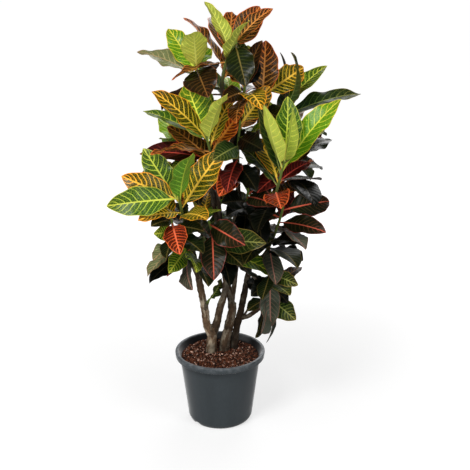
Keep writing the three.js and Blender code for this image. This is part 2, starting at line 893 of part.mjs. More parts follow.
const DEPTH_SHIFTS = [0, -12, 12, -24, 24, -38, 38, -54, 54, -72, 72, -95, 95];
const SWINGS = [0, 7, -7, 14, -14, 22, -22];
const SHOWN_SHIFTS = SWINGS.flatMap((swing) => DEPTH_SHIFTS.map((depth) => ({ swing, depth })));
const RULE_TURNS = [0, 16, -16, 32, -32];
const RULE_LIFTS = [0, 14, -14, 28];
const RULE_SHIFTS = RULE_TURNS.flatMap((turn) => RULE_LIFTS.map((lift) => ({ turn, lift })));

/** True where a point shows inside the crown's outline. */
function insideCrown(point) {
  const [across, up] = shown(point);
  const above = CROWN.findIndex((row) => row[0] > up);
  if (above < 1) return false;
  const [low, high] = [CROWN[above - 1], CROWN[above]];
  const share = (up - low[0]) / (high[0] - low[0]);
  const left = low[1] + (high[1] - low[1]) * share;
  const right = low[2] + (high[2] - low[2]) * share;
  return across > left && across < right;
}

// What a new leaf has to stay clear of: stems, branches and the blades placed before it.
const taken = [];

function take(owner, kind, solid) {
  taken.push({ owner, kind, solid, box: solid.boundingBox() });
}

function boxesMeet(a, b) {
  return [0, 1, 2].every((i) => a.min[i] < b.max[i] && b.min[i] < a.max[i]);
}

function meets(solid, others) {
  const box = solid.boundingBox();
  return others.some((other) => boxesMeet(box, other.box) && solid.intersect(other.solid).numTri() > 0);
}

/** A leaf is clear when it misses all other shoots' pieces, and its blade its own shoot's. */
function isClear(shoot, leaf, ownStation) {
  const others = taken.filter((piece) => piece.owner !== shoot.name);
  const own = taken.filter((piece) => piece.owner === shoot.name && piece.kind === "outer");
  return !meets(blade(leaf, ownStation, LEAF.skin), own) && !meets(blade(leaf, 0, LEAF.clearance), others);
}

/** The first choice that is clear, or else the first whose outer half is. */
function clearest(shoot, choices) {
  const few = choices.slice(0, DEPTH_SHIFTS.length);
  return (
    few.find((choice) => isClear(shoot, choice, 1)) ??
    few.find((choice) => isClear(shoot, choice, 2)) ??
    choices.find((choice) => isClear(shoot, choice, 2))
  );
}

function place(shoot, leaf) {
  shoot.blades.push(blade(leaf, 0, 0));
  take(shoot.name, "outer", blade(leaf, 1, LEAF.skin));
  take(shoot.name, "leaf", blade(leaf, 0, 0));
}

// ---------------------------------------------------------------- the object
const lines = new Map(SHOOTS.map((shoot) => [shoot.name, shootLine(shoot)]));
const group = new THREE.Group();

function addPiece(name, solid, colour, roughness) {
  const material = new THREE.MeshStandardMaterial({ color: colour, roughness, metalness: 0 });
  const mesh = new THREE.Mesh(geometryOf(solid), material);
  mesh.name = name;
  group.add(mesh);
}

addPiece("pot", makePot(), 0x3f4447, 0.45);
addPiece("soil", makeSoil(TRUNKS.map((trunk) => trunkLimb(trunk, 0, HOLE_GAP))), 0x5a3324, 0.95);

for (const trunk of TRUNKS) {
  const limbs = trunk.limbs.map((_, index) => trunkLimb(trunk, index, 0));
  const carried = SHOOTS.filter((shoot) => shoot.carrier === trunk.name);
  const branches = carried.map((shoot) => woodyBranch(lines.get(shoot.name), 0));
  addPiece(trunk.name, joined([...limbs, ...branches]), trunk.colour, 0.85);
  trunk.limbs.forEach((_, index) => take(trunk.name, "wood", trunkLimb(trunk, index, 1)));
  carried.forEach((shoot) => take(trunk.name, "wood", woodyBranch(lines.get(shoot.name), 1)));
}

for (const shoot of SHOOTS) {
  shoot.blades = [];
  take(shoot.name, "stem", greenStem(lines.get(shoot.name), 1));
}

for (const shoot of SHOOTS) {
  const line = lines.get(shoot.name);
  const shares = rootShares(shoot, line);
  shoot.leaves.forEach((row, i) => {
    const choices = SHOWN_SHIFTS.map((shift) => shownLeaf(shoot, line, row, shares[i], shift));
    const leaf = clearest(shoot, choices);
    if (!leaf) throw new Error(shoot.name + " has no clear place for a leaf at " + row.join(" "));
    place(shoot, leaf);
  });
}

SHOOTS.forEach((shoot, key) => {
  const line = lines.get(shoot.name);
  const behind = shoot.leaves.length > 0;
  for (let number = 0; number < shoot.more; number += 1) {
    const choices = RULE_SHIFTS.map((shift) => ruleLeaf(shoot, line, key, number, shift));
    const fitting = choices.filter(
      (choice) => insideCrown(choice.tip) && !(behind && choice.outward.y < RULE.frontLimit),
    );
    const leaf = clearest(shoot, fitting);
    if (leaf) place(shoot, leaf);
  }
});

for (const shoot of SHOOTS) {
  const stem = greenStem(lines.get(shoot.name), 0);
  addPiece(shoot.name, joined([stem, ...shoot.blades]), shoot.colour, 0.4);
}

export default group;
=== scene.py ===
"""The looks of a potted croton: leafy shoots, woody trunks, bark mulch and a nursery pot.

Places of the plant are worked out in millimetres and turned into metres when a mesh is made.
"""
import json
import math

import bpy
import numpy as np
from bpy.props import FloatProperty, FloatVectorProperty, IntProperty, PointerProperty
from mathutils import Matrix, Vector
from mathutils.bvhtree import BVHTree


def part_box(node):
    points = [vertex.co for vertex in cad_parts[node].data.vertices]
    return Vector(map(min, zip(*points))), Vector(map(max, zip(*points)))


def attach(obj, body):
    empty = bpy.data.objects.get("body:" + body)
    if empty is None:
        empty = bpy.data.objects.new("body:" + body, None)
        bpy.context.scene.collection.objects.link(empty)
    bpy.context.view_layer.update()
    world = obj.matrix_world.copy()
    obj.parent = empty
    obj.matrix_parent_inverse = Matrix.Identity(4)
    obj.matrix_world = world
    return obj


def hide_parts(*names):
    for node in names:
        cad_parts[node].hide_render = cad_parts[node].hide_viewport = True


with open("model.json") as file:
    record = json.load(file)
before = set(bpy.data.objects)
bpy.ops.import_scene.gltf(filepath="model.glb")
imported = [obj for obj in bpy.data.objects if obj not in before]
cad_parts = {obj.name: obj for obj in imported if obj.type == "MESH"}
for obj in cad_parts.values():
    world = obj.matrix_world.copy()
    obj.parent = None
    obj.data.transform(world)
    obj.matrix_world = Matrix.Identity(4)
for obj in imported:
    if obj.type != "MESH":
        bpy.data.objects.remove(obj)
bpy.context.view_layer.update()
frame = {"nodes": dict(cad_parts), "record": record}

bl_info = {
    "name": "Potted Croton",
    "version": (1, 0, 0),
    "blender": (4, 5, 0),
    "location": "View3D > Sidebar > Croton",
    "description": "Makes a croton with veined leaves in a pot of bark mulch",
    "category": "Add Mesh",
}

MM = 0.001
TAU = 2 * math.pi

# ---------------------------------------------------------------- the plant's places
# A place is given as it is seen from the front: mm to the right and mm up from the view's
# middle, measured on the plane through the plant's middle, and its depth in mm behind the
# pot's axis.
EYE = np.array((45.0, -2250.0, 1289.0))
EYE_PITCH = math.radians(17.46)
EYE_REACH = 2450.0
AHEAD = np.array((0.0, math.cos(EYE_PITCH), -math.sin(EYE_PITCH)))
ABOVE = np.array((0.0, math.sin(EYE_PITCH), math.cos(EYE_PITCH)))
RIGHT = np.array((1.0, 0.0, 0.0))
UPWARD = np.array((0.0, 0.0, 1.0))
RING_SIDE = np.array((0.8, 0.6, 0.0))  # a level direction that no stem runs along

# A trunk stands at its foot [x, y] in the mulch. Each limb is a line of places with its
# radius at the start and at the end, and a paleness of its bark: partly the bark's own tone
# and partly painted shade, lowest on the limbs that stand in shade.
TRUNKS = {
    "trunk_left": {
        "foot": (-28, 25),
        "paleness": (0.85, 1.0, 0.5),
        "limbs": [
            ([(-69, -309, 24), (-66, -273, 22)], (18, 14)),
            ([
                (-69, -303, 24), (-84, -270, 23), (-90, -225, 22), (-99, -180, 22),
                (-108, -135, 22), (-114, -99, 20),
            ], (12.5, 9.5)),
            ([
                (-66, -297, 24), (-54, -261, 20), (-45, -219, 16), (-33, -180, 14),
                (-27, -144, 14), (-33, -105, 15),
            ], (12.5, 8.5)),
        ],
    },
    "trunk_middle": {
        "foot": (11, 36),
        "paleness": (0.55, 0.4),
        "limbs": [
            ([(-27, -309, 38), (-18, -270, 38), (-9, -231, 36), (-9, -204, 38)], (16.5, 12.5)),
            ([(-9, -210, 38), (-18, -165, 48), (-27, -120, 58)], (10.5, 8)),
        ],
    },
    "trunk_right": {
        "foot": (42, 50),
        "paleness": (0.25, 0.3),
        "limbs": [
            ([
                (6, -273, 62), (18, -225, 66), (24, -195, 64), (33, -150, 56), (42, -105, 48),
                (45, -81, 44),
            ], (12, 8.5)),
            ([(24, -246, 62), (39, -222, 52)], (4, 3)),
        ],
    },
}


def leafy_shoot(carrier, branch, stem, leaf_length, more, more_tints, *leaves):
    """A shoot: the woody branch that grows from its carrier trunk, and the green stem after it.

    A leaf is the place where it leaves the stem, its tip, and its width as seen, negative where
    its underside is seen, with its tint. `more` leaves are set round the stem by rule, in tints
    for a young, an old or an inner shoot.
    """
    return {
        "carrier": carrier, "branch": branch, "stem": stem, "leaf_length": leaf_length,
        "more": more, "more_tints": more_tints, "leaves": leaves,
    }


# The shoots that show in front, then those behind and those inside the crown.
SHOOTS = {
    "shoot_top": leafy_shoot(
        "trunk_middle",
        [(-9, -204, 38), (3, -105, 62), (15, 15, 68), (9, 150, 70), (-9, 270, 66), (-27, 369, 52)],
        [(-39, 441, 38), (-33, 495, 25), (-18, 543, 15), (6, 579, 10)], 165, 5, "young",
        (-39, 555, -153, 654, 21, "bronze"), (-27, 609, -90, 702, -36, "lime"),
        (-27, 591, -9, 672, 72, "bronze"), (-18, 579, -63, 654, 72, "bronze"),
        (36, 573, 75, 687, 72, "bronze"), (-33, 567, 42, 645, -24, "lime"),
        (48, 564, 114, 681, 39, "bronze"), (-54, 453, 27, 579, 78, "bronze"),
        (39, 564, 33, 447, 78, "dark"),
    ),
    "shoot_upper_left": leafy_shoot(
        "trunk_left", [(-39, -15, 20), (-63, 90, 50), (-78, 210, 75), (-93, 330, 80)],
        [(-102, 423, 68), (-108, 465, 55), (-117, 507, 45)], 180, 5, "young",
        (-126, 504, -201, 621, 66, "spring"), (-111, 510, -123, 612, -72, "lime"),
        (-147, 495, -294, 552, 39, "ash"), (-111, 504, -81, 414, 96, "umber"),
        (-114, 495, -60, 519, 48, "umber"),
    ),
    "shoot_upper_middle": leafy_shoot(
        "trunk_right", [(45, -81, 44), (63, 30, 75), (69, 165, 85), (69, 255, 76)],
        [(69, 321, 66), (78, 381, 60), (90, 435, 50)], 165, 5, "young",
        (96, 453, 93, 585, 81, "bronze"), (99, 429, 207, 504, 72, "gold"),
        (81, 411, 153, 339, 54, "dark"),
    ),
    "shoot_upper_right": leafy_shoot(
        "trunk_right", [(63, 30, 75), (99, 135, 95), (114, 210, 92)],
        [(123, 285, 80), (138, 345, 75), (153, 399, 65)], 180, 5, "young",
        (144, 507, 138, 549, 15, "mauve"), (147, 507, 171, 549, -15, "moss"),
        (144, 393, 198, 489, 54, "moss"), (174, 414, 276, 510, 45, "green"),
        (174, 387, 378, 426, 45, "moss"),
    ),
    "shoot_centre_left": leafy_shoot(
        "trunk_left", [(-33, -105, 15), (-39, -15, 20), (-48, 90, 8)],
        [(-57, 180, -5), (-72, 246, -30), (-90, 306, -60)], 195, 5, "young",
        (-93, 300, -147, 459, 102, "spring"), (-72, 309, -24, 426, -36, "lime"),
        (-39, 315, -6, 414, 51, "gold"), (-96, 282, 12, 360, 54, "ember"),
        (-150, 420, -249, 432, 54, "gold"), (-171, 324, -276, 375, 36, "green"),
        (-135, 300, -186, 405, 42, "gold"), (-57, 246, -204, 327, 54, "bronze"),
        (-105, 246, -288, 246, 57, "wine"),
    ),
    "shoot_right_front": leafy_shoot(
        "trunk_right", [(45, -81, 44), (69, -15, 15), (90, 33, -8)],
        [(108, 81, -25), (129, 147, -60), (147, 219, -90)], 200, 5, "young",
        (195, 261, 318, 411, 66, "spring"), (147, 231, 159, 417, 75, "green"),
        (138, 219, 90, 393, -39, "lime"), (153, 225, 195, 381, -30, "lime"),
        (135, 147, 138, 81, 72, "red"), (117, 216, 69, 396, 54, "moss"),
        (108, 195, 6, 276, 48, "moss"), (171, 219, 291, 288, 48, "dark"),
        (105, 195, 234, 225, 30, "ember"), (150, 189, 234, 207, 36, "wine"),
        (180, 177, 258, 168, 12, "mauve"), (141, 135, 228, 147, 36, "bronze"),
        (117, 105, 66, 9, 54, "night"),
    ),
    "shoot_centre": leafy_shoot(
        "trunk_middle", [(-27, -120, 58), (-15, -30, 58), (3, 75, 45)],
        [(9, 165, 28), (9, 255, 8), (15, 339, -10)], 170, 5, "young",
        (24, 351, 105, 447, 66, "gold"), (6, 333, 66, 399, 54, "bronze"),
        (30, 255, 18, 321, 27, "night"), (-9, 231, -24, 129, 54, "wine"),
        (9, 210, -48, 117, 60, "red"), (9, 225, 66, 132, 60, "night"),
        (15, 300, 84, 255, 60, "night"), (12, 270, -66, 225, 60, "moss"),
    ),
    "shoot_left": leafy_shoot(
        "trunk_left", [(-114, -99, 20), (-129, -45, 12), (-138, -9, 6)],
        [(-147, 27, 0), (-159, 69, -40), (-168, 114, -70)], 195, 5, "young",
        (-180, 117, -276, 261, 78, "green"), (-111, 120, -12, 243, 78, "gold"),
        (-162, 117, -129, 246, -51, "green"), (-195, 114, -342, 177, 75, "gold"),
        (-225, 120, -387, 87, 81, "green"), (-189, 105, -114, 147, 24, "ember"),
        (-177, 87, -291, 45, 36, "gold"), (-159, 75, -198, 69, 24, "green"),
        (-147, 84, -84, 48, 45, "gold"),
    ),
    "shoot_lower_left": leafy_shoot(
        "trunk_left", [(-108, -135, 22), (-120, -105, 8)],
        [(-135, -81, -5), (-156, -39, -25), (-183, 15, -45), (-192, 51, -50)], 175, 5, "old",
        (-153, 51, -165, -57, 66, "red"), (-177, 9, -243, 3, 48, "green"),
        (-210, 75, -252, 27, 36, "dark"), (-201, -9, -207, -69, 36, "dark"),
        (-201, -60, -246, -75, 39, "ash"), (-189, -63, -264, -123, 24, "ash"),
        (-189, -81, -258, -144, 45, "night"), (-138, -57, -198, -114, 54, "green"),
        (-144, -57, -114, -111, 27, "green"), (-138, -87, -129, -165, 36, "mauve"),
        (-165, 3, -96, -54, 48, "dark"), (-132, -69, -78, -153, 42, "dark"),
        (-177, 33, -93, 12, 42, "dark"),
    ),
    "shoot_lower_centre": leafy_shoot(
        "trunk_left", [(-33, -111, 15), (-39, -87, 2)],
        [(-48, -57, -10), (-60, -15, -38), (-78, 39, -60)], 185, 6, "old",
        (-90, -6, -63, -135, 72, "rose"), (-99, 42, 30, -30, 72, "rose"),
        (-21, -33, 93, -24, 72, "moss"), (42, -51, 123, -123, 48, "green"),
        (-39, -42, 24, -93, 54, "dark"), (-51, -51, -15, -153, 51, "night"),
    ),
    "shoot_lower_right": leafy_shoot(
        "trunk_right", [(45, -81, 44), (66, -72, 42)],
        [(84, -63, 35), (111, -15, 20), (132, 39, 0), (144, 81, -20)], 180, 6, "old",
        (135, 90, 285, 102, 72, "rose"), (135, 21, 273, 9, 54, "rose"),
        (141, 3, 213, -42, 30, "mauve"), (99, -45, 186, -24, 39, "night"),
        (105, -66, 204, -75, 36, "night"), (105, -66, 189, -96, 39, "dark"),
        (99, -45, 27, -87, 54, "dark"), (111, -15, 42, -9, 54, "dark"),
        (135, 39, 63, 81, 54, "rose"), (93, -51, 123, -147, 54, "mauve"),
    ),
    "shoot_bottom_right": leafy_shoot(
        "trunk_right", [(15, -249, 64), (39, -243, 50), (63, -228, 28)],
        [(81, -213, 10), (99, -189, 2), (108, -153, -8), (105, -105, -18)], 165, 4, "old",
        (102, -99, 108, -276, 60, "mauve"), (111, -99, 189, -150, 45, "moss"),
        (129, -129, 165, -180, 36, "moss"), (120, -135, 159, -204, 42, "night"),
        (111, -210, 183, -255, 63, "moss"), (81, -195, 36, -228, 36, "dark"),
        (81, -201, 63, -309, 27, "dark"), (99, -210, 81, -294, 27, "mauve"),
        (108, -210, 96, -324, 9, "dark"), (81, -111, 81, -192, 42, "dark"),
        (96, -135, 33, -144, 48, "night"), (105, -111, 48, -183, 54, "night"),
    ),
    "shoot_low": leafy_shoot(
        "trunk_left", [(-90, -225, 20), (-87, -212, 12)], [(-84, -205, 6), (-78, -195, 0)], 95, 0,
        "old",
        (-78, -195, -39, -129, 26, "moss"),
    ),
    "shoot_back_left": leafy_shoot(
        "trunk_left", [(-114, -99, 20), (-129, -30, 60), (-144, 60, 100), (-153, 135, 130)],
        [(-156, 180, 145), (-159, 255, 160)], 180, 13, "young",
    ),
    "shoot_back_right": leafy_shoot(
        "trunk_right", [(99, 135, 95), (123, 180, 122), (135, 225, 142)],
        [(138, 255, 155), (138, 321, 165)], 180, 13, "young",
    ),
    "shoot_back_middle": leafy_shoot(
        "trunk_middle", [(9, 150, 70), (3, 225, 105), (-3, 285, 130)],
        [(-6, 321, 140), (-9, 396, 150)], 175, 13, "young",
    ),
    "shoot_back_low_left": leafy_shoot(
        "trunk_left", [(-108, -135, 22), (-105, -81, 60), (-99, -39, 90)],
        [(-99, -15, 105), (-99, 39, 130)], 175, 11, "old",
    ),
    "shoot_back_low_right": leafy_shoot(
        "trunk_right", [(42, -105, 48), (57, -60, 75), (69, -21, 105)],
        [(72, -3, 115), (75, 51, 140)], 175, 11, "old",
    ),
    "shoot_inner_low": leafy_shoot(
        "trunk_middle", [(-21, -147, 52), (-15, -111, 70), (-12, -81, 82)],
        [(-12, -63, 86), (-18, -6, 94)], 165, 8, "inner",
        (-15, -30, -84, -84, 48, "night"), (-15, -15, 12, 63, 48, "dark"),
        (-15, -30, -72, 39, 54, "dark"), (-15, -15, 57, 27, 54, "dark"),
    ),
    "shoot_inner_middle": leafy_shoot(
        "trunk_right", [(45, -81, 44), (36, -15, 40), (33, 39, 28)], [(33, 63, 22), (39, 135, 5)],
        170, 8, "inner",
        (36, 90, -39, 96, 54, "night"), (39, 75, -24, 57, 48, "night"),
        (39, 117, 99, 171, 54, "rose"), (39, 90, 81, 18, 54, "night"),
        (36, 75, 24, -15, 54, "night"), (39, 129, 33, 204, 54, "night"),
        (36, 69, 66, -45, 54, "night"), (39, 105, 123, 87, 54, "rose"),
    ),
    "shoot_inner_left": leafy_shoot(
        "trunk_left", [(-48, 90, 8), (-69, 135, 30), (-87, 177, 42)],
        [(-93, 201, 46), (-105, 261, 50)], 170, 7, "inner",
        (-96, 210, -39, 105, 54, "red"), (-96, 225, -60, 165, 48, "dark"),
        (-99, 240, -189, 201, 48, "green"), (-96, 201, -108, 87, 54, "dark"),
        (-99, 240, -18, 285, 54, "umber"), (-96, 210, -171, 129, 54, "dark"),
    ),
    "shoot_inner_right": leafy_shoot(
        "trunk_right", [(81, 81, 86), (123, 105, 85), (147, 135, 80)],
        [(156, 153, 78), (177, 207, 70)], 170, 7, "inner",
        (162, 171, 81, 105, 54, "wine"), (165, 180, 231, 114, 48, "mauve"),
        (171, 195, 258, 207, 42, "dark"), (168, 195, 105, 255, 48, "dark"),
        (159, 159, 141, 51, 54, "wine"), (162, 165, 204, 63, 48, "night"),
    ),
    "shoot_inner_top": leafy_shoot(
        "trunk_middle", [(-9, 270, 66), (9, 321, 52), (21, 369, 40)],
        [(24, 393, 34), (30, 453, 22)], 155, 7, "inner",
        (27, 435, -18, 507, 48, "bronze"), (27, 429, -42, 399, 48, "umber"),
        (30, 441, 69, 522, 48, "night"), (27, 420, 81, 378, 48, "gold"),
        (27, 411, 3, 336, 42, "bronze"), (27, 429, 81, 585, 48, "umber"),
    ),
}

TRUNK_DEPTH = 52.0  # how far a trunk goes into the mulch
JOINT_GAP = 0.3  # between a branch's end and the green stem that goes on from it
BRANCH_RADIUS = 7.5
STEM_RADIUS = 5.5
STEM_TIP_RADIUS = 3.2
BUD_LENGTH = 2.2  # of the bud at its tip, over that radius
SWELLING_GAP = 13.0  # from one swelling of a green stem to the next
FIRST_LEAF = 14.0  # bare length of stem below the lowest leaf
LAST_LEAF = 3.0  # and above the highest
ROOT_SPREAD = 0.65  # how evenly the leaves share the stem's length

WIDTH_SHARE = 0.41  # a leaf's width over its length
WIDTH_RANGE = (46.0, 82.0)  # the narrowest and the widest leaf, unless it shows wider
ARCH = 0.11  # how far a midrib bows, as a share of the leaf's length
FOLD = 0.3  # how far the two halves lift, as a share of the half width
DEPTH_RANGE = (0.15, 0.8)  # how far a leaf may run in depth, as shares of its length
PETIOLE_SHARE = 0.12  # the leaf's stalk, as a share of its length
VEIN_RISE, VEIN_CURVE = 0.13, 0.07  # how far a side vein runs up to the margin, and bends up
MARGIN_SCALLOPS = 0.045  # how far the outline goes in and out, as a share of the half width

SCAR_WIDTH = 0.07  # of a ring scar, as a share of the gap from ring to ring
CROWN_DARKENS = (330.0, 480.0)  # heights between which the bark turns dark with shade
CROWN_TONE = 0.3  # how bright it is above them
SHADED_FOOT = (200.0, 248.0)  # heights between which the painted shade at a trunk's foot fades out
LUMP_RADIUS = 15.0  # the trunk radius for which the lumps have their full height
CURVE_STEPS = 40  # steps from one place of a line to the next, where its length is measured

NOTCH_ANGLES = (-46, 134)  # degrees round the pot from its front
NOTCH_REACH = (73.0, 113.0)  # from the pot's axis, where the cutting bar starts and ends
SOFT_EDGE = 1.2  # radius of the rim's small edges
MULCH_GAP = 0.6  # between the mulch and the plastic
MULCH_SINK = 1.5  # how far the bed's top lies below the middle height of the chips
AXIS_RING = 0.02  # radius of the ring that closes a turned shape at its axis
UNDER_RIM = 4  # radius of the hollow between the wall and the rim
CHIP_SIDES = (8, 60, 118, 186, 245, 302)  # degrees round a chip at which its corners stand
CHIP_SEED = 7
CHIP_SHORTEST, CHIP_GROWTH = 1.3, 3.4  # half the shortest chip, and the longest's half less it
CHIP_MARGIN = 5  # from the pot's wall to the middle of a chip
CHIP_CLEARANCE = 2.5  # from a trunk to the middle of a chip
DARK_CHIPS, PALE_CHIPS = 0.3, 0.87  # the draw below which a chip is dark, above which pale

# The lights: name, place and side of the square in metres, and a share of which power.
LIGHTS = (
    ("key", (-1.1, -1.9, 2.9), 1.1, 1.0, "key_power"),
    ("front", (0.2, -2.9, 0.7), 1.2, 1.0, "front_power"),
    ("side", (-2.3, -0.8, 0.6), 1.0, 0.6, "fill_power"),
    ("fill", (1.9, -1.7, 1.9), 1.2, 1.0, "fill_power"),
    ("back", (0.6, 2.3, 1.9), 1.6, 1.1, "fill_power"),
)
LIGHTS_AIM = Vector((0.0, 0.0, 0.65))
FLOOR_REACH = 90.0  # metres from its middle to each side
FLOOR_GLOW_AND_SHADOW = (0.1, 2.2, 0.66, 1.0)  # near and far in metres, and how bright it is there; the dimmer glow near the pot is a painted shadow
MIRRORED = 0.3  # the share of the surroundings that a glossy surface mirrors

# The bows and the wave heights tried in turn, as shares of a leaf's own. The form that passes
# least through the wood and the leaves made before it is kept.
FORMS = (
    (1.0, 1.0), (1.0, 0.4), (0.7, 0.4), (1.3, 0.4), (0.4, 0.4), (1.6, 0.4), (0.1, 0.3),
    (1.9, 0.3), (-0.3, 0.2), (2.3, 0.2),
)
BLADE_FOOT = 0.16  # the part of a leaf, next to the stem, where neighbours may touch
FINISHED = []  # the low and high corner and the tree of faces of each trunk and blade made so far
TWIST = 14.0  # a leaf turns by up to half this, in degrees, from stalk to tip
TIP_DROOP = 0.015  # how far the tip bends down, as a share of the leaf's length

GOLDEN_ANGLE = 137.5
LOWEST_LIFT = -42.0  # degrees above level of the lowest leaf set by rule
LIFT_RANGE = 92.0  # degrees from there up to the highest
LIFT_DRAW = 16.0  # degrees between the most and the least lifted at one height
RULE_LENGTHS = (0.86, 1.06)  # the shortest and the longest, as shares of the shoot's leaf length
OUTWARD_TILT = 0.25  # how far such a leaf's face leans back to the stem

# How far a leaf may have been bent aside to stay clear of the others, in the order tried.
DEPTH_SHIFTS = (0, -12, 12, -24, 24, -38, 38, -54, 54, -72, 72, -95, 95)
SWINGS = (0, 7, -7, 14, -14, 22, -22)
RULE_TURNS = (0, 16, -16, 32, -32)
RULE_LIFTS = (0, 14, -14, 28)
TIP_MATCH = 0.8  # a solid's leaf ends this near to its own tip, in mm

# The tints of the leaves set by rule: those near the stem's tip, in its middle and near its foot.
MORE_TINTS = {
    "young": (("lime", "spring", "green"), ("gold", "green", "bronze"), ("moss", "rose", "wine")),
    "old": (("green", "moss", "gold"), ("moss", "rose", "umber"), ("dark", "rose", "mauve")),
    # An inner shoot's lower leaves are mostly in the night tint: painted shade.
    "inner": (("moss", "umber", "moss"), ("night", "dark", "rose"), ("night", "wine", "night")),
}


# ---------------------------------------------------------------- colours
def linear(code):
    """A colour written as six hex digits, as linear red, green and blue."""
    values = [int(code[i : i + 2], 16) / 255 for i in (0, 2, 4)]
    return tuple(v / 12.92 if v <= 0.04045 else ((v + 0.055) / 1.055) ** 2.4 for v in values)


def colour_property(name, description, code):
    """A colour that a user can change, with its default as six hex digits."""
    return FloatVectorProperty(
        name=name, description=description, default=linear(code), size=3, min=0.0, max=1.0,
        subtype="COLOR",
    )


def length_property(name, description, millimetres):
    """A length that a user can change, kept in metres."""
    return FloatProperty(
        name=name, description=description, default=millimetres * MM, min=0.0, unit="LENGTH"
    )


def power_property(name, description, watts):
    """The power of a light."""
    return FloatProperty(name=name, description=description, default=watts, unit="POWER")


# The kinds of leaf: what each is, then its blade, side veins, midrib, tip and underside.
TINTS = {
    "lime": ("the youngest leaves", "7eb01c", "dcec5a", "e8ee80", "ece45c", "b8c850"),
    "spring": ("a young leaf that has opened", "447c10", "c8e038", "e0e850", "e4c83c", "8cb034"),
    "green": ("a green leaf", "1f4c10", "b0cc3c", "d0d850", "c8c840", "5c9a30"),
    "moss": ("a dark green leaf", "10280c", "64843a", "949e54", "94803c", "34481f"),
    "gold": ("a green leaf veined with gold", "123406", "ecc836", "fad04c", "f89e28", "829030"),
    "bronze": ("a brown leaf veined with tan", "1c1607", "c48c3c", "dc964a", "dc6a2a", "563a1a"),
    "umber": ("a dark brown leaf", "0c0904", "56451e", "86602e", "7c431d", "1c160b"),
    "ember": ("an orange leaf", "6c260a", "ff9830", "ffa840", "ff742c", "b0581c"),
    "dark": ("a nearly black leaf", "081305", "3c4a1c", "786834", "524822", "141c0d"),
    # Painted shade: a leaf painted nearly black for the shade deep inside the crown.
    "night": ("a leaf deep inside the crown", "030603", "13190b", "362e1a", "201c10", "060a04"),
    "rose": ("a dark leaf with a rosy midrib", "0b1508", "524e2a", "e0664c", "8a4034", "222014"),
    "red": ("a red leaf", "300d08", "ea5a32", "ff7850", "ea6a34", "521f12"),
    "wine": ("a maroon leaf", "320c0c", "902c24", "c84a3a", "963828", "4e1a1a"),
    "mauve": ("an old leaf", "40483a", "80765f", "bc8070", "8c6858", "645c50"),
    "ash": ("a pale old leaf", "68724a", "c4c48a", "ccb080", "a87c54", "94956c"),
}
PARTS = (
    ("blade", "between the veins"),
    ("veins", "its side veins"),
    ("midrib", "its midrib"),
    ("tip", "its veins and margin near the tip"),
    ("under", "its underside"),
)


class CrotonTints(bpy.types.PropertyGroup):
    """The blade, vein, midrib, tip and underside colours of each kind of leaf, and the stems'."""

    __annotations__ = {
        f"{kind}_{part}": colour_property(
            f"{kind} {part}".capitalize(), f"Of {what}: {where}", code
        )
        for kind, (what, *codes) in TINTS.items()
        for (part, where), code in zip(PARTS, codes)
    }
    green_stem: colour_property("Stem", "The young stem near its tip", "6a8038")
    brown_stem: colour_property("Stem foot", "The stem where it turns woody", "4c4632")


class CrotonLeaves(bpy.types.PropertyGroup):
    """Sizes of the finished blades and their veins."""

    rings: IntProperty(
        name="Rings", description="Cross-sections along a leaf", default=37, min=12
    )
    thickness: length_property("Thickness", "Of the blade at its middle", 0.9)
    petiole: length_property("Stalk", "Radius of the leaf's stalk", 1.8)
    midrib: length_property("Midrib", "How far the midrib stands out below", 1.5)
    wave: length_property("Wave", "How far the margin waves up and down", 4.2)
    quilting: length_property("Quilting", "How far the blade rises between its veins", 0.55)
    pairs: IntProperty(name="Vein pairs", description="Side veins on each half", default=10, min=2)
    vein_width: length_property("Vein width", "Painted width of a side vein at the midrib", 3.3)


class CrotonWood(bpy.types.PropertyGroup):
    """Sizes and colours of the trunks and branches."""

    scar_spacing: length_property("Scar spacing", "Between the rings that old leaves left", 17)
    scar_height: length_property("Scar height", "How far a ring stands out", 0.4)
    lumps: length_property("Lumps", "Unevenness of a trunk", 1.6)
    bark: colour_property("Bark", "The bark itself", "7c6148")
    pale: colour_property("Pale patches", "Pale grey patches on the bark", "e2d2b6")
    cracks: colour_property("Cracks", "Fine cracks and scars", "1a120b")


class CrotonPot(bpy.types.PropertyGroup):
    """Sizes and colours of the pot and the mulch in it."""

    rim_inside: length_property("Rim inside", "Inner radius at the top of the rim", 126)
    rim_band: length_property("Rim band", "Height of the turned-out rim", 17)
    rim_round: length_property("Rim rounding", "Radius of the rim's outer edge", 3)
    shoulder: length_property("Shoulder", "The wall's radius under the rim", 121)
    foot: length_property("Foot", "The wall's radius if it ran down to the floor", 95.5)
    base: length_property("Base", "Radius of the flat underside", 85)
    corner: length_property("Corner", "Height of the rounded lower corner", 22)
    wall: length_property("Wall", "Thickness of the plastic", 2.6)
    floor: length_property("Floor", "Thickness of the pot's floor", 3)
    notch: length_property("Notch", "Radius of a drain notch in the base", 17)
    notch_sunk: length_property("Notch sunk", "How far its middle lies below the base", 5)
    mulch_top: length_property("Mulch top", "Height of the mulch", 202)
    chips: IntProperty(name="Chips", description="Loose bark chips", default=3600, min=0)
    plastic: colour_property("Plastic", "The pot's plastic", "363d41")
    # Dust near the rim, and partly a painted sheen that lightens the rim.
    dust_and_sheen: colour_property("Dust", "Dust on the plastic near the rim", "8b9095")
    # Painted shade: the inner wall above the mulch, painted nearly black where the crown shades it.
    painted_inner_shade: colour_property("Damp", "The plastic above the mulch", "06080a")
    mulch: colour_property("Mulch", "Bark chips", "663a26")
    mulch_dark: colour_property("Mulch dark", "Damp bark and the gaps", "1e120c")
    mulch_pale: colour_property("Mulch pale", "Pale chips and coconut husk", "c7a08c")


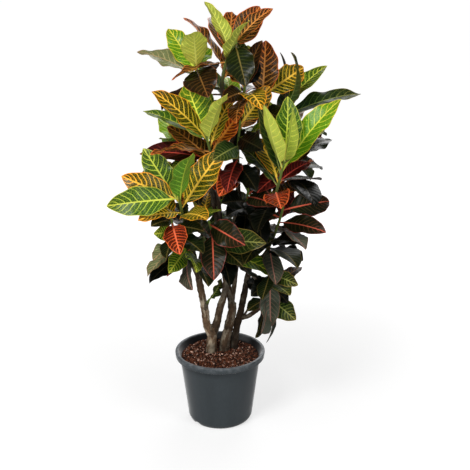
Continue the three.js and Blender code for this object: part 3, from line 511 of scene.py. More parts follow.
class CrotonStage(bpy.types.PropertyGroup):
    """The floor, the light and the camera."""

    backdrop: colour_property("Backdrop", "Floor and surroundings", "fcfcfc")
    lens: FloatProperty(
        name="Lens", description="Focal length", default=62.55, min=1.0, unit="CAMERA"
    )
    key_power: power_property("Key light", "Power of the main light", 64.0)
    front_power: power_property("Front light", "Power of the low light", 23.0)
    fill_power: power_property("Fill light", "Power of the right light", 24.0)
    surround: FloatProperty(
        name="Surround", description="Brightness of the surroundings", default=0.18, min=0.0
    )


# ---------------------------------------------------------------- small tools
def seen(place):
    """The point seen across and up in the front view that lies a depth behind the pot's axis."""
    across, up, depth = place
    ray = AHEAD * EYE_REACH + RIGHT * across + ABOVE * up
    return EYE + ray * ((depth - EYE[1]) / ray[1])


def shown(point):
    """Where a point shows in the front view, as across and up."""
    ray = point - EYE
    scale = EYE_REACH / (ray @ AHEAD)
    return np.array((ray @ RIGHT, ray @ ABOVE)) * scale


def draw(first, second):
    """The same fraction from 0 to 1 each time for the same two numbers."""
    value = math.sin(first * 127.1 + second * 311.7) * 43758.5453
    return value - math.floor(value)


def unit(vectors):
    """Vectors made 1 long."""
    return vectors / np.linalg.norm(vectors, axis=-1, keepdims=True)


def square_to(direction, along):
    """A direction less its share along another one, made 1 long."""
    return unit(direction - np.sum(direction * along, axis=-1, keepdims=True) * along)


def ease(low, high, values):
    """0 below low and 1 above high, with a smooth S between them."""
    share = np.clip((values - low) / (high - low), 0.0, 1.0)
    return share * share * (3 - 2 * share)


def ripples(points, size, seed):
    """A smooth field from -1 to 1: three crossed sine waves of unlike lengths."""
    x, y, z = (points[..., i] / size for i in range(3))
    first = np.sin(1.0 * x + 1.7 * y + 0.6 * z + seed)
    second = np.sin(-1.9 * x + 0.8 * y + 1.4 * z + 2.3 * seed)
    third = np.sin(0.7 * x - 1.2 * y - 2.6 * z + 3.1 * seed)
    return (first + second + third) / 3


def frame_top(node):
    """The height of a node's top in metres."""
    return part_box(node)[1].z


class Line:
    """A smooth curve through places, read by share of its length.

    Between two places it is a cubic whose slopes come from the neighbours, weighted by the
    square roots of the gaps between the places (a centripetal Catmull-Rom curve).
    """

    def __init__(self, points):
        self.points = np.array(points, float)
        self.steps = np.linspace(0.0, 1.0, 201)
        self.run = self.lengths(200)
        self.length = self.run[-1]

    def lengths(self, divisions):
        """The length run at even steps along the curve, added up from short straight parts."""
        places = self.at(np.linspace(0.0, 1.0, divisions + 1))
        gaps = np.linalg.norm(np.diff(places, axis=0), axis=1)
        return np.concatenate([[0.0], np.cumsum(gaps)])

    def at(self, turns):
        """The points at turns from 0 to 1, which pass each place after an even share."""
        last = len(self.points) - 1
        before = 2 * self.points[0] - self.points[1]
        after = 2 * self.points[-1] - self.points[-2]
        padded = np.vstack([before, self.points, after])
        place = np.clip(np.atleast_1d(turns), 0.0, 1.0) * last
        index = np.minimum(place.astype(int), last - 1)
        w = (place - index)[:, None]
        p0, p1, p2, p3 = (padded[index + k] for k in range(4))
        d0, d1, d2 = (
            np.sqrt(np.linalg.norm(b - a, axis=1, keepdims=True))
            for a, b in ((p0, p1), (p1, p2), (p2, p3))
        )
        start = ((p1 - p0) / d0 - (p2 - p0) / (d0 + d1) + (p2 - p1) / d1) * d1
        end = ((p2 - p1) / d1 - (p3 - p1) / (d1 + d2) + (p3 - p2) / d2) * d1
        square = -3 * p1 + 3 * p2 - 2 * start - end
        cube = 2 * p1 - 2 * p2 + start + end
        return p1 + start * w + square * w**2 + cube * w**3

    def turns(self, shares):
        """The turns at which shares of the length have been run."""
        return np.interp(np.atleast_1d(shares) * self.length, self.run, self.steps)

    def place(self, shares):
        """The points at shares of the length."""
        return self.at(self.turns(shares))

    def tangent(self, shares):
        """The direction from just behind to just ahead."""
        turns = self.turns(shares)
        ahead = self.at(np.clip(turns + 1e-4, 0.0, 1.0))
        behind = self.at(np.clip(turns - 1e-4, 0.0, 1.0))
        return unit(ahead - behind)


# ---------------------------------------------------------------- meshes
def grid_quads(rows, columns):
    """The quads of a grid of rows by columns, each row closed on itself."""
    row, column = np.meshgrid(np.arange(rows - 1), np.arange(columns), indexing="ij")
    beside = (column + 1) % columns
    corners = (
        row * columns + column, row * columns + beside,
        (row + 1) * columns + beside, (row + 1) * columns + column,
    )
    return np.stack([c.ravel() for c in corners], axis=1)


def round_caps(rows, columns):
    """The two end faces of a grid whose rows are rings, as strips of quads across each ring."""
    half = columns // 2
    here = np.arange(half - 1)
    far = columns - 1 - here
    start = np.stack([far, far - 1, here + 1, here], axis=1)
    end = (rows - 1) * columns + np.stack([here, here + 1, far - 1, far], axis=1)
    return np.concatenate([start, end])


def tube_quads(rows, columns):
    """All the faces of a closed tube of rows rings."""
    return np.concatenate([grid_quads(rows, columns), round_caps(rows, columns)])


def linked(name, data):
    """A new object in the scene that holds this data."""
    thing = bpy.data.objects.new(name, data)
    bpy.context.scene.collection.objects.link(thing)
    return thing


def new_piece(name, vertices, faces, material, nodes=(), attributes=(), sharp=40.0):
    """Puts a mesh in millimetres into the scene as a smooth piece in metres.

    `attributes` holds rows of attribute name, type and a value for each vertex.
    """
    mesh = bpy.data.meshes.new(name)
    count, corners = faces.shape
    mesh.vertices.add(len(vertices))
    mesh.vertices.foreach_set("co", (np.asarray(vertices) * MM).astype(np.float32).ravel())
    mesh.loops.add(count * corners)
    mesh.loops.foreach_set("vertex_index", faces.astype(np.int32).ravel())
    mesh.polygons.add(count)
    mesh.polygons.foreach_set("loop_start", np.arange(count, dtype=np.int32) * corners)
    mesh.update(calc_edges=True)
    for label, kind, values in attributes:
        layer = mesh.attributes.new(label, kind, "POINT")
        key = {"FLOAT_COLOR": "color", "FLOAT_VECTOR": "vector", "FLOAT": "value"}[kind]
        layer.data.foreach_set(key, np.asarray(values, np.float32).ravel())
    mesh.validate()
    mesh.shade_smooth()
    mesh.set_sharp_from_angle(angle=math.radians(sharp))
    mesh.materials.append(material)
    piece = linked(name, mesh)
    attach(piece, "root")
    if nodes:
        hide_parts(*nodes)
    return piece


def stacked(parts):
    """Several (vertices, faces, attributes) put together into one."""
    starts = np.cumsum([0] + [len(part[0]) for part in parts])
    vertices = np.concatenate([part[0] for part in parts])
    faces = np.concatenate([part[1] + start for part, start in zip(parts, starts)])
    values = [
        (label, kind, np.concatenate([part[2][i][2] for part in parts]))
        for i, (label, kind, _) in enumerate(parts[0][2])
    ]
    return vertices, faces, values


# ---------------------------------------------------------------- shader nodes
def add_node(tree, kind, **values):
    """A new node with its own settings."""
    node = tree.nodes.new(kind)
    for key, value in values.items():
        setattr(node, key, value)
    return node


def feed(tree, socket, value):
    """Links a socket to the input, or sets the input to a plain value."""
    if isinstance(value, bpy.types.NodeSocket):
        tree.links.new(value, socket)
    else:
        socket.default_value = value


def calculate(tree, operation, *values):
    """The outcome of a Math node."""
    node = add_node(tree, "ShaderNodeMath", operation=operation)
    for socket, value in zip(node.inputs, values):
        feed(tree, socket, value)
    return node.outputs[0]


def times(tree, first, second):
    """One value times another."""
    return calculate(tree, "MULTIPLY", first, second)


def sloped(tree, value, slope, start):
    """A value times a slope, added to a start."""
    return calculate(tree, "MULTIPLY_ADD", value, slope, start)


def banded(tree, value, middle, before, after):
    """1 well below a middle and 0 well above it, with a smooth S from before it to after it."""
    low = calculate(tree, "SUBTRACT", middle, before)
    return mapped(tree, value, low, calculate(tree, "ADD", middle, after), 1.0, 0.0)


def mapped(tree, value, low, high, to_low=0.0, to_high=1.0):
    """Turns low..high into to_low..to_high with a smooth S, and holds it outside."""
    node = add_node(tree, "ShaderNodeMapRange", interpolation_type="SMOOTHSTEP")
    for name, part in zip(("Value", "From Min", "From Max", "To Min", "To Max"),
                          (value, low, high, to_low, to_high)):
        feed(tree, node.inputs[name], part)
    return node.outputs["Result"]


def mixed(tree, share, first, second):
    """The first colour less a share, with that share of the second."""
    node = add_node(tree, "ShaderNodeMix", data_type="RGBA")
    feed(tree, node.inputs[0], share)
    for socket, value in ((node.inputs[6], first), (node.inputs[7], second)):
        feed(tree, socket, (*value, 1.0) if isinstance(value, tuple) else value)
    return node.outputs[2]


def noise(tree, vector, scale, detail, roughness=0.55):
    """Cloudy values from 0 to 1 round a half."""
    node = add_node(tree, "ShaderNodeTexNoise")
    feed(tree, node.inputs["Vector"], vector)
    for name, value in (("Scale", scale), ("Detail", detail), ("Roughness", roughness)):
        feed(tree, node.inputs[name], value)
    return node.outputs["Fac"]


def attribute(tree, name, output="Fac"):
    """What the piece's mesh holds for each vertex under a name."""
    return add_node(tree, "ShaderNodeAttribute", attribute_name=name).outputs[output]


def object_place(tree):
    """The place on the piece, in metres."""
    return add_node(tree, "ShaderNodeTexCoord").outputs["Object"]


def split(tree, vector):
    """The three parts of a vector."""
    node = add_node(tree, "ShaderNodeSeparateXYZ")
    feed(tree, node.inputs[0], vector)
    return node.outputs


def length_of(tree, vector):
    """The length of a vector."""
    node = add_node(tree, "ShaderNodeVectorMath", operation="LENGTH")
    feed(tree, node.inputs[0], vector)
    return node.outputs["Value"]


def squeezed(tree, vector, across, upward):
    """A vector scaled sideways and upward."""
    node = add_node(tree, "ShaderNodeMapping")
    node.inputs["Scale"].default_value = (across, across, upward)
    feed(tree, node.inputs["Vector"], vector)
    return node.outputs[0]


def new_group(name, inputs, outputs):
    """An empty node group with its sockets, and its input and output nodes."""
    group = bpy.data.node_groups.new(name, "ShaderNodeTree")
    for way, sockets in (("INPUT", inputs), ("OUTPUT", outputs)):
        for label, kind in sockets:
            group.interface.new_socket(label, in_out=way, socket_type="NodeSocket" + kind)
    return group, add_node(group, "NodeGroupInput"), add_node(group, "NodeGroupOutput")


def leaf_vein_group():
    """The veins of a leaf: a midrib, curved side veins, a fine net and a margin line.

    `Place` holds the share across (-1 to 1), the share along the blade and a seed; `Span` the
    half width, the blade's length and the distance from the margin, in mm. A side vein runs
    where pairs * (along - VEIN_RISE across - VEIN_CURVE across^2) passes a whole number and a
    half. Veins and margin fade over about a millimetre.
    """
    inputs = [
        ("Place", "Vector"), ("Span", "Vector"), ("Pairs", "Float"), ("Width", "Float"),
        ("Spread", "Float"),
    ]
    outputs = [(name, "Float") for name in ("Veins", "Midrib", "Margin", "Blotches", "Relief")]
    group, given, result = new_group("Leaf veins", inputs, outputs)
    across, along, seed = split(group, given.outputs["Place"])
    half_width, length, from_margin = split(group, given.outputs["Span"])
    pairs, width, spread = (given.outputs[name] for name in ("Pairs", "Width", "Spread"))

    outwards = calculate(group, "ABSOLUTE", across)
    flat = add_node(group, "ShaderNodeCombineXYZ")
    feed(group, flat.inputs[0], times(group, across, half_width))
    feed(group, flat.inputs[1], times(group, along, length))
    feed(group, flat.inputs[2], times(group, seed, 900.0))
    sheet = flat.outputs[0]
    wander = calculate(group, "SUBTRACT", noise(group, sheet, 0.045, 2.0), 0.5)

    rise = times(group, outwards, VEIN_RISE)
    rise = sloped(group, times(group, outwards, outwards), VEIN_CURVE, rise)
    phase = times(group, calculate(group, "SUBTRACT", along, rise), pairs)
    phase = sloped(group, calculate(group, "GREATER_THAN", across, 0.0), 0.5, phase)
    phase = sloped(group, wander, 0.55, phase)
    aside = calculate(group, "SUBTRACT", calculate(group, "FRACT", phase), 0.5)
    aside = calculate(group, "ABSOLUTE", aside)
    spacing = calculate(group, "DIVIDE", length, pairs)
    from_vein = times(group, times(group, aside, spacing), 0.9)

    half = times(group, times(group, width, 0.5), sloped(group, outwards, -0.6, 1.0))
    side = banded(group, from_vein, half, 0.5, 0.5)
    side = times(group, side, mapped(group, along, 0.02, 0.08))
    side = times(group, side, mapped(group, outwards, 0.86, 1.0, 1.0, 0.45))

    from_midrib = times(group, outwards, half_width)
    stout = times(group, times(group, width, 0.72), sloped(group, along, -0.6, 1.15))
    midrib = banded(group, from_midrib, stout, 0.6, 0.5)
    cells = add_node(group, "ShaderNodeTexVoronoi", feature="DISTANCE_TO_EDGE")
    feed(group, cells.inputs["Vector"], sheet)
    feed(group, cells.inputs["Scale"], 0.22)
    net = mapped(group, cells.outputs["Distance"], 0.02, 0.12, 0.34, 0.0)

    patches = noise(group, sheet, 0.035, 4.0, 0.62)
    blotches = sloped(group, mapped(group, aside, 0.0, 0.42, 1.0, 0.0), 0.4, patches)
    edge_pull = mapped(group, from_margin, 0.0, 14.0, 0.22, 0.0)
    blotches = calculate(group, "ADD", blotches, edge_pull)
    threshold = sloped(group, spread, -0.75, 1.12)
    above = calculate(group, "ADD", threshold, 0.18)
    hills = calculate(group, "SUBTRACT", aside, times(group, midrib, 0.6))
    for name, value in (
        ("Veins", calculate(group, "MAXIMUM", side, net)),
        ("Midrib", midrib),
        ("Margin", mapped(group, from_margin, 1.1, 2.5, 1.0, 0.0)),
        ("Blotches", mapped(group, blotches, threshold, above, 0.0, 0.9)),
        ("Relief", sloped(group, patches, 0.35, hills)),
    ):
        feed(group, result.inputs[name], value)
    return group


def uneven_group():
    """A surface's unevenness: a broad shade that varies round 1, and a fine grain height."""
    inputs = [("Vector", "Vector"), ("Broad", "Float"), ("Fine", "Float"), ("Amount", "Float")]
    group, given, result = new_group("Uneven", inputs, [("Shade", "Float"), ("Grain", "Float")])
    broad = noise(group, given.outputs["Vector"], given.outputs["Broad"], 3.0)
    fine = noise(group, given.outputs["Vector"], given.outputs["Fine"], 5.0, 0.65)
    swing = calculate(group, "SUBTRACT", calculate(group, "ADD", broad, fine), 1.0)
    amount = given.outputs["Amount"]
    feed(group, result.inputs["Shade"], sloped(group, swing, amount, 1.0))
    feed(group, result.inputs["Grain"], fine)
    return group


GROUPS = {}


def placed_group(tree, name, **values):
    """A shared group placed in a material, with its own values."""
    if name not in GROUPS:
        GROUPS[name] = {"Leaf veins": leaf_vein_group, "Uneven": uneven_group}[name]()
    node = add_node(tree, "ShaderNodeGroup", node_tree=GROUPS[name])
    for key, value in values.items():
        feed(tree, node.inputs[key], value)
    return node.outputs


def new_material(name, **sockets):
    """A material with a Principled shader whose uniform values are set on its own sockets."""
    material = bpy.data.materials.new(name)
    material.use_nodes = True
    tree = material.node_tree
    shader = tree.nodes["Principled BSDF"]
    for key, value in sockets.items():
        shader.inputs[key.replace("_", " ")].default_value = value
    return material, tree, shader


def bump(tree, shader, height, distance, strength):
    """A Bump node on the shader's normal; distance in metres."""
    node = add_node(tree, "ShaderNodeBump")
    node.inputs["Distance"].default_value = distance
    node.inputs["Strength"].default_value = strength
    feed(tree, node.inputs["Height"], height)
    feed(tree, shader.inputs["Normal"], node.outputs["Normal"])


def scaled_colour(tree, colour, value):
    """A colour made lighter or darker by a value."""
    node = add_node(tree, "ShaderNodeVectorMath", operation="SCALE")
    feed(tree, node.inputs[0], colour)
    feed(tree, node.inputs["Scale"], value)
    return node.outputs[0]


def leaf_material(name, sheen):
    """A waxy leaf: its blade, vein and margin colours come from the piece's own attributes."""
    leaves = bpy.context.scene.croton_leaves
    material, tree, shader = new_material(
        name, Specular_IOR_Level=0.6 * sheen + 0.08, Coat_Weight=sheen, Coat_Roughness=0.22
    )
    pattern = placed_group(
        tree,
        "Leaf veins",
        Place=attribute(tree, "leaf_place", "Vector"),
        Span=attribute(tree, "leaf_span", "Vector"),
        Pairs=float(leaves.pairs),
        Width=attribute(tree, "vein_width"),
        Spread=attribute(tree, "leaf_spread"),
    )
    uneven = placed_group(
        tree, "Uneven", Vector=object_place(tree), Broad=28.0, Fine=240.0, Amount=0.55
    )
    blade, veins, edge, midrib = (
        attribute(tree, part + "_colour", "Color") for part in ("blade", "vein", "margin", "midrib")
    )
    colour = scaled_colour(tree, blade, uneven["Shade"])
    colour = mixed(tree, pattern["Blotches"], colour, veins)
    clearness = attribute(tree, "vein_clearness")
    colour = mixed(tree, times(tree, pattern["Veins"], clearness), colour, veins)
    colour = mixed(tree, pattern["Margin"], colour, edge)
    colour = mixed(tree, pattern["Midrib"], colour, midrib)
    feed(tree, shader.inputs["Base Color"], colour)
    dull = sloped(tree, pattern["Veins"], 0.12, 0.27)
    feed(tree, shader.inputs["Roughness"], sloped(tree, uneven["Grain"], 0.16, dull))
    bump(tree, shader, pattern["Relief"], 0.0011, 0.8)
    return material


def bark_material():
    """Young bark: tan with pale patches and dark cracks, ringed where old leaves stood, and
    darkened by painted shade inside the crown and at the foot.
    """
    wood = bpy.context.scene.croton_wood
    material, tree, shader = new_material("Bark", Specular_IOR_Level=0.25, Roughness=0.82)
    grain = attribute(tree, "grain", "Vector")
    lengthwise = squeezed(tree, grain, 1.0, 0.35)
    uneven = placed_group(tree, "Uneven", Vector=lengthwise, Broad=0.05, Fine=0.6, Amount=0.8)
    patches = mapped(tree, noise(tree, lengthwise, 0.07, 4.0, 0.6), 0.46, 0.62)
    cracks = mapped(tree, noise(tree, lengthwise, 0.36, 5.0, 0.7), 0.53, 0.68)
    colour = scaled_colour(tree, tuple(wood.bark), uneven["Shade"])
    for mask, share, tint in (
        (patches, 0.7, wood.pale), (cracks, 0.75, wood.cracks),
        (attribute(tree, "scar"), 0.3, wood.cracks),
    ):
        colour = mixed(tree, times(tree, mask, share), colour, tuple(tint))
    blots = mapped(tree, noise(tree, grain, 0.022, 2.0, 0.5), 0.46, 0.66, 1.0, 0.5)
    # The paleness attribute holds each limb's own tone with painted shade: darker inside the crown
    # and at the trunk's foot.
    blots = times(tree, blots, attribute(tree, "paleness"))
    feed(tree, shader.inputs["Base Color"], scaled_colour(tree, colour, blots))
    bump(tree, shader, sloped(tree, cracks, -0.7, uneven["Grain"]), 0.0014, 0.9)
    return material


def plastic_material():
    """Moulded plastic: dark slate, satin, with faint flow marks, and dust near the rim that is
    partly a painted sheen.

    Inside the rim, above the mulch, it is painted nearly black: painted shade.
    """
    pot = bpy.context.scene.croton_pot
    material, tree, shader = new_material(
        "Pot plastic", Specular_IOR_Level=0.5, Sheen_Weight=1.0, Sheen_Roughness=0.32
    )
    here = object_place(tree)
    height = split(tree, here)["Z"]
    upright = squeezed(tree, here, 1.0, 0.12)
    uneven = placed_group(tree, "Uneven", Vector=upright, Broad=22.0, Fine=420.0, Amount=0.5)
    top = frame_top("pot")
    # Dust near the rim, partly a painted sheen that lightens the rim's top.
    dust_and_sheen = mapped(tree, noise(tree, here, 60.0, 4.0), 0.35, 0.7)
    dust_and_sheen = times(tree, mapped(tree, height, top - 0.022, top), dust_and_sheen)
    # Painted shade: the inner wall above the mulch is painted nearly black.
    reach = length_of(tree, squeezed(tree, here, 1.0, 0.0))
    inside = mapped(tree, reach, pot.rim_inside - 0.002, pot.rim_inside + 0.001, 1.0, 0.0)
    painted_inner_shade = times(tree, inside, mapped(tree, height, pot.mulch_top - 0.006, pot.mulch_top))
    colour = scaled_colour(tree, tuple(pot.plastic), uneven["Shade"])
    colour = mixed(tree, times(tree, dust_and_sheen, 0.35), colour, tuple(pot.dust_and_sheen))
    colour = mixed(tree, times(tree, painted_inner_shade, 0.95), colour, tuple(pot.painted_inner_shade))
    feed(tree, shader.inputs["Base Color"], colour)
    feed(tree, shader.inputs["Roughness"], sloped(tree, uneven["Grain"], 0.16, 0.36))
    bump(tree, shader, uneven["Grain"], 0.00012, 0.5)
    return material


def mulch_material():
    """Bark mulch: each chip's own colour, fibrous and matt."""
    material, tree, shader = new_material("Bark mulch", Specular_IOR_Level=0.2, Roughness=0.9)
    uneven = placed_group(
        tree, "Uneven", Vector=object_place(tree), Broad=90.0, Fine=700.0, Amount=0.9
    )
    colour = scaled_colour(tree, attribute(tree, "chip_colour", "Color"), uneven["Shade"])
    feed(tree, shader.inputs["Base Color"], colour)
    bump(tree, shader, uneven["Grain"], 0.0012, 0.9)
    return material


SLOTS = {part["node"]: part["material_slot"] for part in frame["record"]["subparts"]}
SHEEN = {"leaf_bright": 0.11, "leaf_dark": 0.04, "leaf_low": 0.05}
MAKERS = {"pot_plastic": plastic_material, "bark_mulch": mulch_material, "bark": bark_material}
MATERIALS = {}


def material_for(slot):
    """The finish of a material slot, made the first time that it is asked for."""
    if slot not in MATERIALS:
        if slot in SHEEN:
            MATERIALS[slot] = leaf_material(slot.replace("_", " ").capitalize(), SHEEN[slot])
        else:
            MATERIALS[slot] = MAKERS[slot]()
    return MATERIALS[slot]


# ---------------------------------------------------------------- the pot and its mulch
def wall_radius(z):
    """The outer radius of the pot's wall at a height, in mm."""
    pot = bpy.context.scene.croton_pot
    straight = frame_top("pot") - pot.rim_band
    return (pot.foot + (pot.shoulder - pot.foot) * (z * MM / straight)) / MM


def arc(centre, radii, start, end, steps):
    """Points on an ellipse's arc, as radius and height; angles in degrees from outwards."""
    turns = np.radians(np.linspace(start, end, steps))
    return np.array(centre) + np.array(radii) * np.stack([np.cos(turns), np.sin(turns)], axis=1)


def revolved(profile, sides):
    """A profile of radius and height, from axis to axis, carried round the upright axis.

    The points on the axis are doubled into small rings closed by quads across them, so the
    surface is all quads.
    """
    profile = np.array(profile)
    profile[:, 0] = np.maximum(profile[:, 0], AXIS_RING)
    turns = TAU * np.arange(sides) / sides
    radius, height = profile[:, :1], profile[:, 1:]
    ring = np.stack([radius * np.sin(turns), -radius * np.cos(turns), height + 0 * turns], axis=-1)
    return ring.reshape(-1, 3), tube_quads(len(profile), sides)[:, ::-1]


def pot_profile():
    """The pot's section: rounded foot, tapered wall, turned-out rim, and the inside."""
    pot = bpy.context.scene.croton_pot
    top, base, corner = frame_top("pot") / MM, pot.base / MM, pot.corner / MM
    rim, round_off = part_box("pot")[1].x / MM, pot.rim_round / MM
    band_foot, wall, floor = top - pot.rim_band / MM, pot.wall / MM, pot.floor / MM
    inside, soft = pot.rim_inside / MM, SOFT_EDGE
    foot = arc((base, corner), (wall_radius(corner) - base, corner), -90, 0, 14)
    bend = band_foot - UNDER_RIM
    up = [(wall_radius(z), z) for z in np.linspace(corner, bend, 12)[1:]]
    under = arc((wall_radius(band_foot) + UNDER_RIM, bend), (UNDER_RIM, UNDER_RIM), 180, 90, 6)
    lip = arc((rim - 1 - soft, band_foot + soft), (soft, soft), -90, 0, 5)
    edge = arc((rim - round_off, top - round_off), (round_off, round_off), 0, 90, 8)
    inner = arc((inside + soft, top - soft), (soft, soft), 90, 180, 5)
    down = [(wall_radius(z) - wall, z) for z in (200, 150, 100, corner)]
    parts = [[(0, 0)], foot, up, under, lip, edge, inner, down, [(base - 1, floor), (0, floor)]]
    return np.concatenate([np.array(part, float) for part in parts])


def notched(piece, angle):
    """Cuts a drain notch out of the base: a round bar across the corner, taken away."""
    pot = bpy.context.scene.croton_pot
    radius, sunk = pot.notch / MM, pot.notch_sunk / MM
    turn = math.radians(angle)
    outwards = np.array((math.sin(turn), -math.cos(turn), 0.0))
    beside = np.array((math.cos(turn), math.sin(turn), 0.0))
    turns = TAU * np.arange(40) / 40
    ring = np.outer(np.cos(turns), beside) * radius + np.outer(np.sin(turns), UPWARD) * radius
    ring[:, 2] -= sunk
    rows = np.stack([ring + outwards * reach for reach in NOTCH_REACH])
    mesh = bpy.data.meshes.new("notch")
    mesh.from_pydata((rows.reshape(-1, 3) * MM).tolist(), [], tube_quads(2, 40).tolist())
    cutter = linked("notch", mesh)
    cut = piece.modifiers.new("Notch", "BOOLEAN")
    cut.operation, cut.solver, cut.object = "DIFFERENCE", "EXACT", cutter
    bpy.context.view_layer.update()
    finished = bpy.data.meshes.new_from_object(
        piece.evaluated_get(bpy.context.evaluated_depsgraph_get())
    )
    piece.modifiers.clear()
    piece.data = finished
    bpy.data.objects.remove(cutter)


def mulch_height(x, y):
    """Gentle hills and hollows of the mulch: broad ripples and finer ones added, in mm."""
    field = np.stack([x, y, 0 * x], axis=-1)
    return 1.6 * ripples(field, 17.0, 1.0) + 0.9 * ripples(field, 6.5, 4.0)


def mulch_bed():
    """The filling of the pot: a profile carried round, whose top rises and falls by formula."""
    pot = bpy.context.scene.croton_pot
    top, floor, wall = pot.mulch_top / MM, pot.floor / MM + 0.4, pot.wall / MM
    corner = pot.corner / MM
    edge = wall_radius(top) - wall - MULCH_GAP
    side = [(wall_radius(z) - wall - MULCH_GAP, z) for z in np.linspace(corner + 2, top - 3, 6)]
    surface = [(r, top) for r in np.linspace(edge, 0, 46)]
    profile = [(0, floor), (pot.base / MM - 3, floor), *side, *surface]
    vertices, faces = revolved(profile, 120)
    upper = vertices[:, 2] > top - 1
    radius = np.hypot(vertices[:, 0], vertices[:, 1])
    lift = mulch_height(vertices[:, 0], vertices[:, 1]) * ease(0, 6, edge - radius)
    vertices[upper, 2] += lift[upper] - MULCH_SINK
    colours = np.ones((len(vertices), 4))
    share = 0.5 + 0.5 * ripples(vertices, 5.0, 2.0)
    dark, mid = np.array(pot.mulch_dark), np.array(pot.mulch)
    colours[:, :3] = dark + (0.4 * mid - 0.2 * dark) * share[:, None]
    return vertices, faces[:, ::-1], [("chip_colour", "FLOAT_COLOR", colours)]


def turned(first, second, angles):
    """Two coordinates of each chip turned in their plane by the chip's own angle."""
    cos, sin = np.cos(angles)[:, None, None], np.sin(angles)[:, None, None]
    return first * cos - second * sin, first * sin + second * cos


def mulch_chips():
    """Loose chips: flat six-sided slips, strewn, turned and tipped by draw.

    A chip's two faces are long hexagons whose corners are drawn in or out, and it bends up or
    down with the square of the distance along it. Each is a small closed tube of two rings.
    """
    pot = bpy.context.scene.croton_pot
    draws = np.random.default_rng(CHIP_SEED)
    count = pot.chips
    reach = wall_radius(200) - pot.wall / MM - CHIP_MARGIN
    radius = reach * np.sqrt(draws.random(count))
    turn = TAU * draws.random(count)
    x, y = radius * np.cos(turn), radius * np.sin(turn)
    clear = np.ones(count, bool)
    for trunk in TRUNKS.values():
        foot = trunk["foot"]
        clear &= np.hypot(x - foot[0], y - foot[1]) > trunk["limbs"][0][1][0] + CHIP_CLEARANCE
    x, y = x[clear], y[clear]
    count = len(x)
    long = CHIP_SHORTEST + CHIP_GROWTH * draws.random(count) ** 2.5
    wide = long * (0.35 + 0.4 * draws.random(count))
    thick = 0.5 + 0.7 * draws.random(count)
    heights = pot.mulch_top / MM - 0.6 + mulch_height(x, y) + 2.6 * draws.random(count) ** 1.5
    heading = TAU * draws.random(count)
    tip, roll = draws.normal(0, 0.35, count), draws.normal(0, 0.3, count)
    corners = np.radians(CHIP_SIDES)
    jitter = 0.78 + 0.4 * draws.random((count, 2, 6))
    flat = np.stack([np.cos(corners), np.sin(corners)], axis=-1)
    local = np.zeros((count, 2, 6, 3))
    local[..., 0] = flat[:, 0] * long[:, None, None] * jitter
    local[..., 1] = flat[:, 1] * wide[:, None, None] * jitter
    local[:, 0, :, 2] = thick[:, None]
    local[:, 1, :, 2] = -thick[:, None]
    local[..., 2] += 0.03 * local[..., 0] ** 2 * draws.normal(0, 1, count)[:, None, None]
    lx, ly, lz = local[..., 0], local[..., 1], local[..., 2]
    ly, lz = turned(ly, lz, roll)
    lx, lz = turned(lx, lz, tip)
    lx, ly = turned(lx, ly, heading)
    middle = np.stack([x, y, heights], axis=-1)[:, None, None, :]
    vertices = (np.stack([lx, ly, lz], axis=-1) + middle).reshape(-1, 3)
    one = tube_quads(2, 6)[:, ::-1]
    faces = (one[None] + 12 * np.arange(count)[:, None, None]).reshape(-1, 4)
    pick = draws.random(count)
    shade = (0.55 + 0.9 * draws.random(count))[:, None]
    dark, mid, pale = (np.array(c) for c in (pot.mulch_dark, pot.mulch, pot.mulch_pale))
    base = np.where(pick[:, None] < DARK_CHIPS, dark, mid)
    base = np.where(pick[:, None] > PALE_CHIPS, pale, base)
    colours = np.ones((count, 12, 4))
    colours[..., :3] = np.clip(base * shade, 0, 1)[:, None]
    return vertices, faces, [("chip_colour", "FLOAT_COLOR", colours.reshape(-1, 4))]


# ---------------------------------------------------------------- trunks and stems
def ring_turns(columns):
    """The angles of a ring's points, half a step from its start."""
    return TAU * (np.arange(columns) + 0.5) / columns


def round_tube(line, shares, radii, columns):
    """Rings of the given radii (rows by columns, or rows) carried along a line.

    Each ring lies square to the line, starts beside it and turns over the side next to
    RING_SIDE, so its faces point outwards.
    """
    centres, tangents = line.place(shares), line.tangent(shares)
    upper = square_to(RING_SIDE, tangents)
    side = np.cross(tangents, upper)
    turns = ring_turns(columns)
    radii = np.asarray(radii, float).reshape(len(shares), -1, 1)
    out = -np.cos(turns)[:, None] * side[:, None, :] + np.sin(turns)[:, None] * upper[:, None, :]
    return centres[:, None, :] + radii * out


